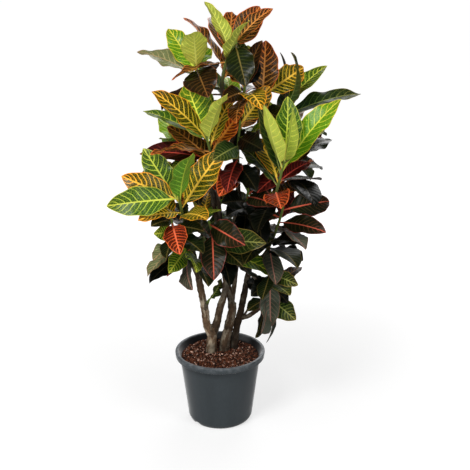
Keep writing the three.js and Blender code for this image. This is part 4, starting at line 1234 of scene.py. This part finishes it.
def woody_limb(line, end, first_radius, last_radius, columns, seed, paleness):
    """Bark carried along a line: a taper, lumps, and raised rings where old leaves stood.

    It runs from the line's start to the share `end`. Its paleness, partly the bark's own tone
    and partly painted shade, falls from the given value above the mulch to CROWN_TONE inside
    the crown, painted shade under the leaves, and the foot is darker with painted shade.
    """
    wood = bpy.context.scene.croton_wood
    rows = max(6, int(line.length * end / 4.5))
    shares = np.linspace(0, end, rows)
    run = shares * line.length
    taper = first_radius + (last_radius - first_radius) * (shares / end)
    spacing = wood.scar_spacing / MM
    turns = ring_turns(columns)
    across, beside = np.cos(turns) * taper[:, None], np.sin(turns) * taper[:, None]
    grain = np.stack([across + 40 * seed, beside, run[:, None] + 0 * turns], axis=-1)
    wobble = run[:, None] + 3.0 * np.sin(turns + seed) + 2.0 * ripples(grain, 9.0, seed)
    scar = np.exp(-((((wobble / spacing + seed) % 1.0) - 0.5) / SCAR_WIDTH) ** 2)
    size = taper[:, None] / LUMP_RADIUS
    swell = ripples(grain, 7.0, seed) + 0.5 * ripples(grain, 2.6, seed + 2)
    lumps = wood.lumps / MM * size * swell
    radii = taper[:, None] + lumps + wood.scar_height / MM * np.sqrt(size) * scar
    rings = round_tube(line, shares, radii, columns)
    height = rings[..., 2]
    # Painted shade: the bark is darker inside the crown, down to CROWN_TONE.
    tone = CROWN_TONE + (paleness - CROWN_TONE) * (1 - ease(*CROWN_DARKENS, height))
    # Painted shade: the foot is darker near the mulch.
    tone = tone * (0.5 + 0.5 * ease(*SHADED_FOOT, height))
    return rings.reshape(-1, 3), tube_quads(rows, columns), [
        ("grain", "FLOAT_VECTOR", grain.reshape(-1, 3)),
        ("scar", "FLOAT", scar.ravel()),
        ("paleness", "FLOAT", tone.ravel()),
    ]


def trunk_line(trunk, index):
    """The line of a trunk's limb; the first one starts at its foot, down in the mulch."""
    points = [seen(place) for place in trunk["limbs"][index][0]]
    if index == 0:
        x, y = trunk["foot"]
        top = bpy.context.scene.croton_pot.mulch_top / MM
        points = [np.array((x, y, top - TRUNK_DEPTH)), np.array((x, y, top)), *points]
    return Line(points)


def shoot_line(shoot):
    """A shoot's whole line and the share of it where the green stem starts."""
    line = Line([seen(place) for place in shoot["branch"] + shoot["stem"]])
    lengths = line.lengths((len(line.points) - 1) * CURVE_STEPS)
    return line, lengths[len(shoot["branch"]) * CURVE_STEPS] / line.length


def trunk_parts(name, trunk):
    """The limbs of a trunk and the woody branches that it carries."""
    parts = []
    for index, (_, radii) in enumerate(trunk["limbs"]):
        line = trunk_line(trunk, index)
        paleness = trunk["paleness"][index]
        parts.append(woody_limb(line, 1, *radii, 24, 1.7 * index + len(name), paleness))
    for key, shoot in enumerate(SHOOTS.values()):
        if shoot["carrier"] == name:
            line, join = shoot_line(shoot)
            end = join - JOINT_GAP / 2 / line.length
            radii = (BRANCH_RADIUS, STEM_RADIUS)
            parts.append(woody_limb(line, end, *radii, 14, 0.9 * key + 3, 0.4))
    return stacked(parts)


# ---------------------------------------------------------------- where the leaves are
def width_for(length):
    """The width of a leaf of this length, WIDTH_SHARE of it within WIDTH_RANGE."""
    return min(max(length * WIDTH_SHARE, WIDTH_RANGE[0]), WIDTH_RANGE[1])


def root_shares(shoot, line, join):
    """The shown leaves' places on the stem: near where they show, but spread out along it."""
    first = join + FIRST_LEAF / line.length
    last = 1 - LAST_LEAF / line.length
    tries = np.linspace(first, last, 25)
    places = np.array([shown(point) for point in line.place(tries)])
    wanted = [
        tries[np.argmin(np.hypot(places[:, 0] - row[0], places[:, 1] - row[1]))]
        for row in shoot["leaves"]
    ]
    order = sorted(range(len(wanted)), key=lambda i: (wanted[i], i))
    shares = [0.0] * len(wanted)
    for rank, leaf in enumerate(order):
        even = first + (last - first) * (rank + 0.5) / len(order)
        shares[leaf] = wanted[leaf] + ROOT_SPREAD * (even - wanted[leaf])
    return shares


def shown_leaf(shoot, line, row, share, swing, depth_shift):
    """A leaf that the front view shows, from its seen reach, its length and its seen width."""
    tip_across, tip_up, seen_width = row[2:5]
    length = shoot["leaf_length"]
    root = line.place(share)[0]
    root_across, root_up = shown(root)
    reach = math.hypot(tip_across - root_across, tip_up - root_up)
    heading = math.atan2(tip_up - root_up, tip_across - root_across) + math.radians(swing)
    away = 1 if (tip_up > root_up) == (seen_width > 0) else -1
    hidden = math.sqrt(max(0.0, length**2 - reach**2))
    depth = min(max(hidden, DEPTH_RANGE[0] * length), DEPTH_RANGE[1] * length)
    tip = seen(
        (
            root_across + reach * math.cos(heading),
            root_up + reach * math.sin(heading),
            root[1] + away * depth + depth_shift,
        )
    )
    chord = unit(tip - root)
    width = max(abs(seen_width), width_for(np.linalg.norm(tip - root)))
    facing = square_to(EYE - tip, chord)
    side = np.cross(chord, facing)
    turn = math.acos(min(1.0, abs(seen_width) / width))
    stemwards = -1 if side @ line.tangent(share)[0] < 0 else 1
    towards = math.copysign(math.cos(turn), seen_width)
    normal = facing * towards + side * stemwards * math.sin(turn)
    return {"root": root, "tip": tip, "normal": normal, "width": width}


def rule_leaf(shoot, line, join, key, number, turn_shift, lift_shift):
    """A leaf set round the stem by rule: the lower down the stem, the more it hangs."""
    rise = (number + 0.5) / shoot["more"]
    first = join + FIRST_LEAF / line.length
    share = first + (1 - LAST_LEAF / line.length - first) * rise
    turn = math.radians(GOLDEN_ANGLE * number + 360 * draw(key, 1) + turn_shift)
    unevenness = LIFT_DRAW * (draw(key, number + 2) - 0.5)
    lean = math.radians(LOWEST_LIFT + LIFT_RANGE * rise + unevenness + lift_shift)
    shortest, longest = RULE_LENGTHS
    length = shoot["leaf_length"] * (shortest + (longest - shortest) * draw(key, number + 40))
    outward = np.array((math.cos(turn), math.sin(turn), 0.0))
    chord = outward * math.cos(lean) + UPWARD * math.sin(lean)
    root = line.place(share)[0]
    normal = square_to(UPWARD - OUTWARD_TILT * outward, chord)
    tip, width = root + chord * length, width_for(length)
    return {"root": root, "tip": tip, "normal": normal, "width": width}


def solid_corners(node):
    """The corners of a shoot's solid, in mm."""
    mesh = frame["nodes"][node].data
    corners = np.zeros(len(mesh.vertices) * 3, np.float32)
    mesh.vertices.foreach_get("co", corners)
    return corners.reshape(-1, 3) / MM


def first_match(choices, corners):
    """The first choice whose tip is one that the solid has."""
    for choice in choices:
        if np.min(np.linalg.norm(corners - choice["tip"], axis=1)) < TIP_MATCH:
            return choice
    return None


def shoot_leaves(name, key, shoot, line, join):
    """Every leaf of a shoot with its tint, where the shoot's solid has it."""
    corners = solid_corners(name)
    leaves = []
    for row, share in zip(shoot["leaves"], root_shares(shoot, line, join)):
        choices = (
            shown_leaf(shoot, line, row, share, swing, shift)
            for swing in SWINGS
            for shift in DEPTH_SHIFTS
        )
        leaf = first_match(choices, corners)
        if leaf is None:
            raise RuntimeError(f"{name} has no leaf at {row}")
        leaves.append({**leaf, "tint": row[5]})
    for number in range(shoot["more"]):
        choices = (
            rule_leaf(shoot, line, join, key, number, turn, lift)
            for turn in RULE_TURNS
            for lift in RULE_LIFTS
        )
        leaf = first_match(choices, corners)
        if leaf is None:
            continue
        rise = (number + 0.5) / shoot["more"]
        stage = 0 if rise > 0.66 else 1 if rise > 0.33 else 2
        tints = MORE_TINTS[shoot["more_tints"]][stage]
        leaves.append({**leaf, "tint": tints[int(3 * draw(key + 9, number))]})
    return leaves


# ---------------------------------------------------------------- the leaves themselves
ACROSS = np.array((-1.0, -0.84, -0.6, -0.34, -0.1, 0.0, 0.1, 0.34, 0.6, 0.84, 1.0))
WIDEST = 0.3386  # the largest value of t^0.72 (1 - t)^0.85
# For each kind of leaf: how far the vein colour spreads over the blade, how clear the side
# veins are at the midrib, how much of that they lose by the margin, how bright that is, and
# how wide the veins are.
VEIN_RULES = {
    "lime": (0.35, 0.9, 0.1, 0.9, 1.0),
    "spring": (0.25, 0.95, 0.1, 0.9, 1.0),
    "green": (0.14, 0.95, 0.1, 0.8, 1.0),
    "moss": (0.04, 0.85, 0.25, 0.75, 0.85),
    "gold": (0.24, 1.0, 0.0, 1.0, 1.3),
    "bronze": (0.1, 1.0, 0.1, 0.95, 1.1),
    "umber": (0.0, 0.8, 0.3, 0.7, 0.9),
    "ember": (0.6, 0.95, 0.1, 1.0, 1.5),
    "dark": (0.0, 0.7, 0.5, 0.7, 0.8),
    "night": (0.0, 0.5, 0.7, 0.6, 0.7),
    "rose": (0.0, 0.7, 0.6, 0.7, 0.9),
    "red": (0.18, 1.0, 0.35, 0.9, 1.1),
    "wine": (0.1, 0.7, 0.5, 0.75, 0.9),
    "mauve": (0.0, 0.7, 0.4, 0.7, 0.85),
    "ash": (0.1, 0.85, 0.2, 0.8, 0.9),
}


def opaque(colours):
    """Colours of a grid as rows of red, green, blue and 1."""
    flat = np.clip(colours.reshape(-1, 3), 0.0, 1.0)
    return np.concatenate([flat, np.ones((len(flat), 1))], axis=1)


def leaf_layers(place, span, spread, clearness, width, *colours):
    """The attributes that the leaf materials read, for each vertex of a leaf or a stem."""
    layers = [
        ("leaf_place", "FLOAT_VECTOR", place), ("leaf_span", "FLOAT_VECTOR", span),
        ("leaf_spread", "FLOAT", spread), ("vein_clearness", "FLOAT", clearness),
        ("vein_width", "FLOAT", width),
    ]
    for part, colour in zip(("blade", "vein", "midrib", "margin"), colours):
        layers.append((part + "_colour", "FLOAT_COLOR", opaque(colour)))
    return layers


def leaf_surface(leaf, seed, bow, calm):
    """One leaf as a closed sheet: sections across the midrib, carried from root to tip.

    The midrib is a parabola from root to tip that bows by ARCH of the length. The half width
    is t^0.72 (1 - t)^0.85 along the blade, over its largest value and a little scalloped, and
    the stalk's radius before it. Each half lifts from the midrib by FOLD, waves more towards
    the margin, and rises between its side veins. `bow` and `calm` are shares of the bow and of
    the waves. The chances are the leaf's own draws.
    """
    leaves = bpy.context.scene.croton_leaves
    tints = bpy.context.scene.croton_tints
    rows = leaves.rings
    shares = np.linspace(0.0, 1.0, rows) ** 0.92
    s = shares[:, None]
    blade = (s - PETIOLE_SHARE) / (1 - PETIOLE_SHARE)
    inside = np.clip(blade, 0.0, 1.0)
    root, tip, width = leaf["root"], leaf["tip"], leaf["width"]
    length = np.linalg.norm(tip - root)
    chances = [draw(seed, number) for number in range(8)]

    bend = (root + tip) / 2 + leaf["normal"] * ARCH * bow * length
    midrib = (1 - s) ** 2 * root + 2 * s * (1 - s) * bend + s**2 * tip
    along = unit(2 * (1 - s) * (bend - root) + 2 * s * (tip - bend))
    upper = square_to(leaf["normal"], along)
    side = np.cross(along, upper)
    twist = math.radians(TWIST) * (chances[0] - 0.5) * (s - 0.45)
    cos, sin = np.cos(twist), np.sin(twist)
    upper, side = upper * cos + side * sin, side * cos - upper * sin

    stalk = leaves.petiole / MM * (1.15 - 0.5 * s)
    outline = inside**0.72 * (1 - inside) ** 0.85 / WIDEST
    leafy = ease(-0.03, 0.06, blade)
    b = ACROSS[None, :]
    out = np.abs(b)
    right = (b > 0) * 1.0
    scallops = np.sin(TAU * ((2.6 + 1.5 * chances[3]) * s + chances[1] + 0.41 * right))
    outline = outline * (1 + MARGIN_SCALLOPS * scallops * out)
    half_width = np.maximum(width / 2 * outline, stalk * (1 - 0.93 * inside))

    waves = np.sin(TAU * ((1.7 + 1.3 * chances[1]) * s + chances[2] + 0.37 * right))
    waves = waves + 0.35 * np.sin(TAU * ((4.5 + 2 * chances[2]) * s + chances[0] + 0.2 * right))
    wave = calm * leaves.wave / MM * (0.5 + chances[3]) * out**1.8 * waves
    wave = wave * np.sqrt(np.clip(outline, 0, 1))
    lift = FOLD * half_width * (np.sqrt(b**2 + 0.01) - 0.1) - 0.07 * half_width * b**2
    phase = leaves.pairs * (blade - VEIN_RISE * out - VEIN_CURVE * b**2) + 0.5 * right
    quilt = leaves.quilting / MM * np.cos(TAU * phase) * np.minimum(1, out / 0.15) * (1 - out**4)
    droop = -TIP_DROOP * length * np.clip((s - 0.72) / 0.28, 0, 1) ** 2
    rise = leafy * (wave + lift + quilt + droop)

    sheet = leaves.thickness / MM * (1 - 0.35 * out) * (1 - 0.3 * s) / 2
    round_stalk = stalk * np.sqrt(1 - b**2) + 0.12
    ridge = leaves.midrib / MM * (1 - 0.85 * inside) * np.exp(-((b * half_width / 1.9) ** 2))
    above = round_stalk * (1 - leafy) + sheet * leafy
    below = round_stalk * (1 - leafy) + (sheet + ridge) * leafy
    spine = midrib[:, None, :] + side[:, None, :] * (b * half_width)[..., None]
    top = spine + upper[:, None, :] * (rise + above)[..., None]
    bottom = spine + upper[:, None, :] * (rise - below)[..., None]
    rings = np.concatenate([top, bottom[:, ::-1]], axis=1)

    ring_across = np.concatenate([ACROSS, ACROSS[::-1]])[None, :] + 0 * s
    underneath = np.concatenate([0 * ACROSS, 0 * ACROSS + 1])[None, :] + 0 * s
    ring_width = np.concatenate([half_width, half_width[:, ::-1]], axis=1)
    margin = (1 - np.abs(ring_across)) * ring_width + 9 * (blade < 0.04)
    place = np.stack([ring_across, blade + 0 * ring_across, chances[4] + 0 * ring_across], axis=-1)
    blade_length = length * (1 - PETIOLE_SHARE) + 0 * ring_across
    span = np.stack([ring_width, blade_length, margin], axis=-1)
    tint = leaf["tint"]
    colours = {part: np.array(getattr(tints, f"{tint}_{part}")) for part, _ in PARTS}
    bright = 0.75 + 0.5 * chances[5]
    warm = 1 + 0.16 * (chances[6] - 0.5) * np.array((1.0, 0.0, -0.6))
    tipwards = (inside**1.8)[..., None]
    under = underneath[..., None]
    blade_colour = colours["blade"] * bright * warm
    blade_colour = blade_colour * (1 - under) + colours["under"] * bright * under
    vein_colour = colours["veins"] * (1 - tipwards) + colours["tip"] * tipwards
    below_colour = 1.35 * colours["under"] + 0.5 * vein_colour + 0.02
    vein_colour = vein_colour * warm * (1 - under) + below_colour * under
    midrib_colour = colours["midrib"] * (1 - 0.5 * tipwards) + 0.5 * colours["tip"] * tipwards
    below_colour = 0.75 * midrib_colour + 0.6 * colours["under"]
    midrib_colour = midrib_colour * (1 - under) + below_colour * under
    spread, clearness, loss, edging, stoutness = VEIN_RULES[tint]
    margin_colour = colours["tip"] * warm * (edging - 0.2 * under)
    clearness = clearness * (1 - loss * np.abs(ring_across))
    spread = spread * (0.6 + 0.8 * chances[7]) * (0.3 + 0.7 * inside) * (1 - 0.5 * underneath)
    return rings.reshape(-1, 3), tube_quads(rows, 2 * len(ACROSS)), leaf_layers(
        place.reshape(-1, 3), span.reshape(-1, 3), spread.ravel(), clearness.ravel(),
        np.full(clearness.size, leaves.vein_width / MM * stoutness),
        blade_colour, vein_colour, midrib_colour, margin_colour,
    )


def bounded_tree(vertices, faces):
    """A mesh's low and high corners and the tree of its faces, to hold others against."""
    tree = BVHTree.FromPolygons(vertices.tolist(), faces.tolist())
    return vertices.min(axis=0), vertices.max(axis=0), tree


def clear_leaf(leaf, seed):
    """The leaf in the form of FORMS that passes least through the wood and blades before it."""
    fewest, kept, form = math.inf, None, None
    for bow, calm in FORMS:
        part = leaf_surface(leaf, seed, bow, calm)
        vertices, faces = part[:2]
        foot = int(BLADE_FOOT * len(vertices))
        blade = faces[np.all(faces >= foot, axis=1)]
        low, high, tree = bounded_tree(vertices, blade)
        near = [other for other in FINISHED if np.all(other[0] < high) and np.all(other[1] > low)]
        crossings = sum(len(tree.overlap(other[2])) for other in near)
        if crossings < fewest:
            fewest, kept, form = crossings, part, (low, high, tree)
        if crossings == 0:
            break
    FINISHED.append(form)
    return kept


def green_stem(line, join, seed):
    """The young stem: a taper with low swellings, a sine wave along it, and a budded tip.

    The bud's rings are the last ring drawn in by a cosine as it moves ahead by a sine.
    """
    tints = bpy.context.scene.croton_tints
    start = join + JOINT_GAP / 2 / line.length
    rows = max(14, int(line.length * (1 - start) / 4))
    shares = np.linspace(start, 1.0, rows)
    part = (shares - start) / (1 - start)
    run = (shares - start) * line.length
    radii = STEM_RADIUS + (STEM_TIP_RADIUS - STEM_RADIUS) * part
    radii = radii * (1 + 0.05 * np.sin(TAU * run / SWELLING_GAP + seed))
    columns = 14
    rings = round_tube(line, shares, radii, columns)
    centre, ahead = line.place(1.0)[0], line.tangent(1.0)[0] * STEM_TIP_RADIUS * BUD_LENGTH
    bud = [
        centre + ahead * math.sin(a) + (rings[-1] - centre) * math.cos(a)
        for a in np.radians((25, 50, 70, 84))
    ]
    rings = np.concatenate([rings, np.array(bud)])
    rows = len(rings)
    part = np.concatenate([part, np.ones(len(bud))])
    green, brown = np.array(tints.green_stem), np.array(tints.brown_stem)
    colour = (brown + (green - brown) * part[:, None])[:, None, :] + np.zeros((1, columns, 3))
    count = rows * columns
    return rings.reshape(-1, 3), tube_quads(rows, columns), leaf_layers(
        np.tile((0.0, -0.5, 0.5), (count, 1)), np.tile((0.1, 90.0, 9.0), (count, 1)),
        np.zeros(count), np.zeros(count), np.ones(count), colour, colour, colour, colour,
    )


def make_shoot(name):
    """One shoot: its green stem and all its leaves, in place of the shoot's solid."""
    key = list(SHOOTS).index(name)
    shoot = SHOOTS[name]
    line, join = shoot_line(shoot)
    leaves = shoot_leaves(name, key, shoot, line, join)
    parts = [clear_leaf(leaf, 31 * key + number) for number, leaf in enumerate(leaves)]
    vertices, faces, attributes = stacked([green_stem(line, join, key), *parts])
    slot = SLOTS[name]
    new_piece(
        name.replace("shoot_", "leaves_"), vertices, faces, material_for(slot), [name],
        attributes, sharp=58,
    )
    return len(leaves)


# ---------------------------------------------------------------- the stage
def make_floor(backdrop):
    """A wide flat floor that glows pale to the camera only, a little less near the pot's foot, as a
    painted shadow.

    To the light it is a dull grey, so it throws little back.
    """
    reach = FLOOR_REACH
    mesh = bpy.data.meshes.new("floor")
    corners = [(-reach, -reach, 0), (reach, -reach, 0), (reach, reach, 0), (-reach, reach, 0)]
    mesh.from_pydata(corners, [], [(0, 1, 2, 3)])
    floor = linked("floor", mesh)
    material, tree, shader = new_material(
        "Floor", Roughness=0.9, Specular_IOR_Level=0.0, Emission_Strength=0.97
    )
    rays = add_node(tree, "ShaderNodeLightPath").outputs["Is Camera Ray"]
    feed(tree, shader.inputs["Base Color"], mixed(tree, rays, (0.3, 0.3, 0.3), (0.4, 0.4, 0.4)))
    # Painted shadow: the glow is dimmer near the pot's foot, so the floor darkens round it.
    glow_and_painted_shadow = mapped(tree, length_of(tree, object_place(tree)), *FLOOR_GLOW_AND_SHADOW)
    pale = scaled_colour(tree, backdrop, glow_and_painted_shadow)
    feed(tree, shader.inputs["Emission Color"], mixed(tree, rays, (0.0, 0.0, 0.0), pale))
    mesh.materials.append(material)


def make_surround(scene, backdrop, brightness):
    """Even surroundings: full to the camera, dimmer to the object, and least in its gloss."""
    world = bpy.data.worlds.new("surround")
    world.use_nodes = True
    scene.world = world
    tree = world.node_tree
    background = tree.nodes["Background"]
    background.inputs["Color"].default_value = (*backdrop, 1.0)
    rays = add_node(tree, "ShaderNodeLightPath").outputs
    dimmed = times(tree, sloped(tree, rays["Is Glossy Ray"], MIRRORED - 1, 1.0), brightness)
    strength = calculate(tree, "MAXIMUM", rays["Is Camera Ray"], dimmed)
    feed(tree, background.inputs["Strength"], strength)


# ---------------------------------------------------------------- operators
class CROTON_OT_stage(bpy.types.Operator):
    """Makes the floor, the soft light and the camera"""

    bl_idname = "croton.stage"
    bl_label = "Stage"

    def execute(self, context):
        stage = context.scene.croton_stage
        context.scene.view_settings.view_transform = "Standard"
        context.scene.view_settings.look = "None"
        make_floor(tuple(stage.backdrop))
        make_surround(context.scene, tuple(stage.backdrop), stage.surround)
        for name, place, size, share, power in LIGHTS:
            light = bpy.data.lights.new(name, "AREA")
            light.shape, light.size = "SQUARE", size
            light.energy = share * getattr(stage, power)
            lamp = linked(name, light)
            lamp.location = place
            aim = LIGHTS_AIM - Vector(place)
            lamp.rotation_euler = aim.to_track_quat("-Z", "Y").to_euler()

        camera = bpy.data.cameras.new("camera")
        camera.lens, camera.sensor_width, camera.clip_end = stage.lens, 36.0, 500.0
        viewer = linked("camera", camera)
        viewer.location = EYE * MM
        viewer.rotation_euler = (math.radians(90) - EYE_PITCH, 0.0, 0.0)
        context.scene.camera = viewer
        return {"FINISHED"}


class CROTON_OT_pot(bpy.types.Operator):
    """Makes the nursery pot, with its drain notches"""

    bl_idname = "croton.pot"
    bl_label = "Pot"

    def execute(self, context):
        vertices, faces = revolved(pot_profile(), 144)
        piece = new_piece(
            "nursery_pot", vertices, faces, material_for("pot_plastic"), ["pot"]
        )
        for angle in NOTCH_ANGLES:
            notched(piece, angle)
        return {"FINISHED"}


class CROTON_OT_mulch(bpy.types.Operator):
    """Makes the mulch: the filling of the pot and its loose bark chips"""

    bl_idname = "croton.mulch"
    bl_label = "Mulch"

    def execute(self, context):
        vertices, faces, attributes = mulch_bed()
        material = material_for("bark_mulch")
        new_piece("mulch_bed", vertices, faces, material, ["soil"], attributes)
        vertices, faces, attributes = mulch_chips()
        new_piece("mulch_chips", vertices, faces, material, (), attributes, sharp=30)
        return {"FINISHED"}


class CROTON_OT_trunks(bpy.types.Operator):
    """Makes the three woody trunks with their branches"""

    bl_idname = "croton.trunks"
    bl_label = "Trunks"

    def execute(self, context):
        for name, trunk in TRUNKS.items():
            vertices, faces, attributes = trunk_parts(name, trunk)
            new_piece(
                "bark_" + name, vertices, faces, material_for("bark"), [name], attributes
            )
        return {"FINISHED"}


class CROTON_OT_shoots(bpy.types.Operator):
    """Makes the leafy shoots: green stems with veined leaves"""

    bl_idname = "croton.shoots"
    bl_label = "Leafy shoots"

    def execute(self, context):
        FINISHED.clear()
        for name, trunk in TRUNKS.items():
            FINISHED.append(bounded_tree(*trunk_parts(name, trunk)[:2]))
        count = sum(make_shoot(name) for name in SHOOTS)
        self.report({"INFO"}, f"{count} leaves")
        print("leaves:", count)
        return {"FINISHED"}


class CROTON_PT_panel(bpy.types.Panel):
    """The croton's operators and sizes"""

    bl_label = "Potted Croton"
    bl_idname = "CROTON_PT_panel"
    bl_space_type = "VIEW_3D"
    bl_region_type = "UI"
    bl_category = "Croton"

    def draw(self, context):
        for operator in OPERATORS:
            self.layout.operator(operator.bl_idname)
        for name, group in PROPERTY_GROUPS.items():
            box = self.layout.box()
            box.label(text=name.replace("_", " ").capitalize())
            for key in group.__annotations__:
                box.prop(getattr(context.scene, name), key)


PROPERTY_GROUPS = {
    "croton_stage": CrotonStage,
    "croton_pot": CrotonPot,
    "croton_wood": CrotonWood,
    "croton_leaves": CrotonLeaves,
    "croton_tints": CrotonTints,
}
OPERATORS = (
    CROTON_OT_stage, CROTON_OT_pot, CROTON_OT_mulch, CROTON_OT_trunks, CROTON_OT_shoots
)


def register():
    """Registers the settings, the operators and the panel."""
    for group in PROPERTY_GROUPS.values():
        bpy.utils.register_class(group)
    for name, group in PROPERTY_GROUPS.items():
        setattr(bpy.types.Scene, name, PointerProperty(type=group))
    for operator in OPERATORS:
        bpy.utils.register_class(operator)
    bpy.utils.register_class(CROTON_PT_panel)


def unregister():
    """Takes them all away again."""
    bpy.utils.unregister_class(CROTON_PT_panel)
    for operator in reversed(OPERATORS):
        bpy.utils.unregister_class(operator)
    for name, group in PROPERTY_GROUPS.items():
        delattr(bpy.types.Scene, name)
        bpy.utils.unregister_class(group)


def main():
    """Makes the whole scene."""
    register()
    bpy.ops.croton.stage()
    bpy.ops.croton.pot()
    bpy.ops.croton.mulch()
    bpy.ops.croton.trunks()
    bpy.ops.croton.shoots()


if __name__ == "__main__":
    main()
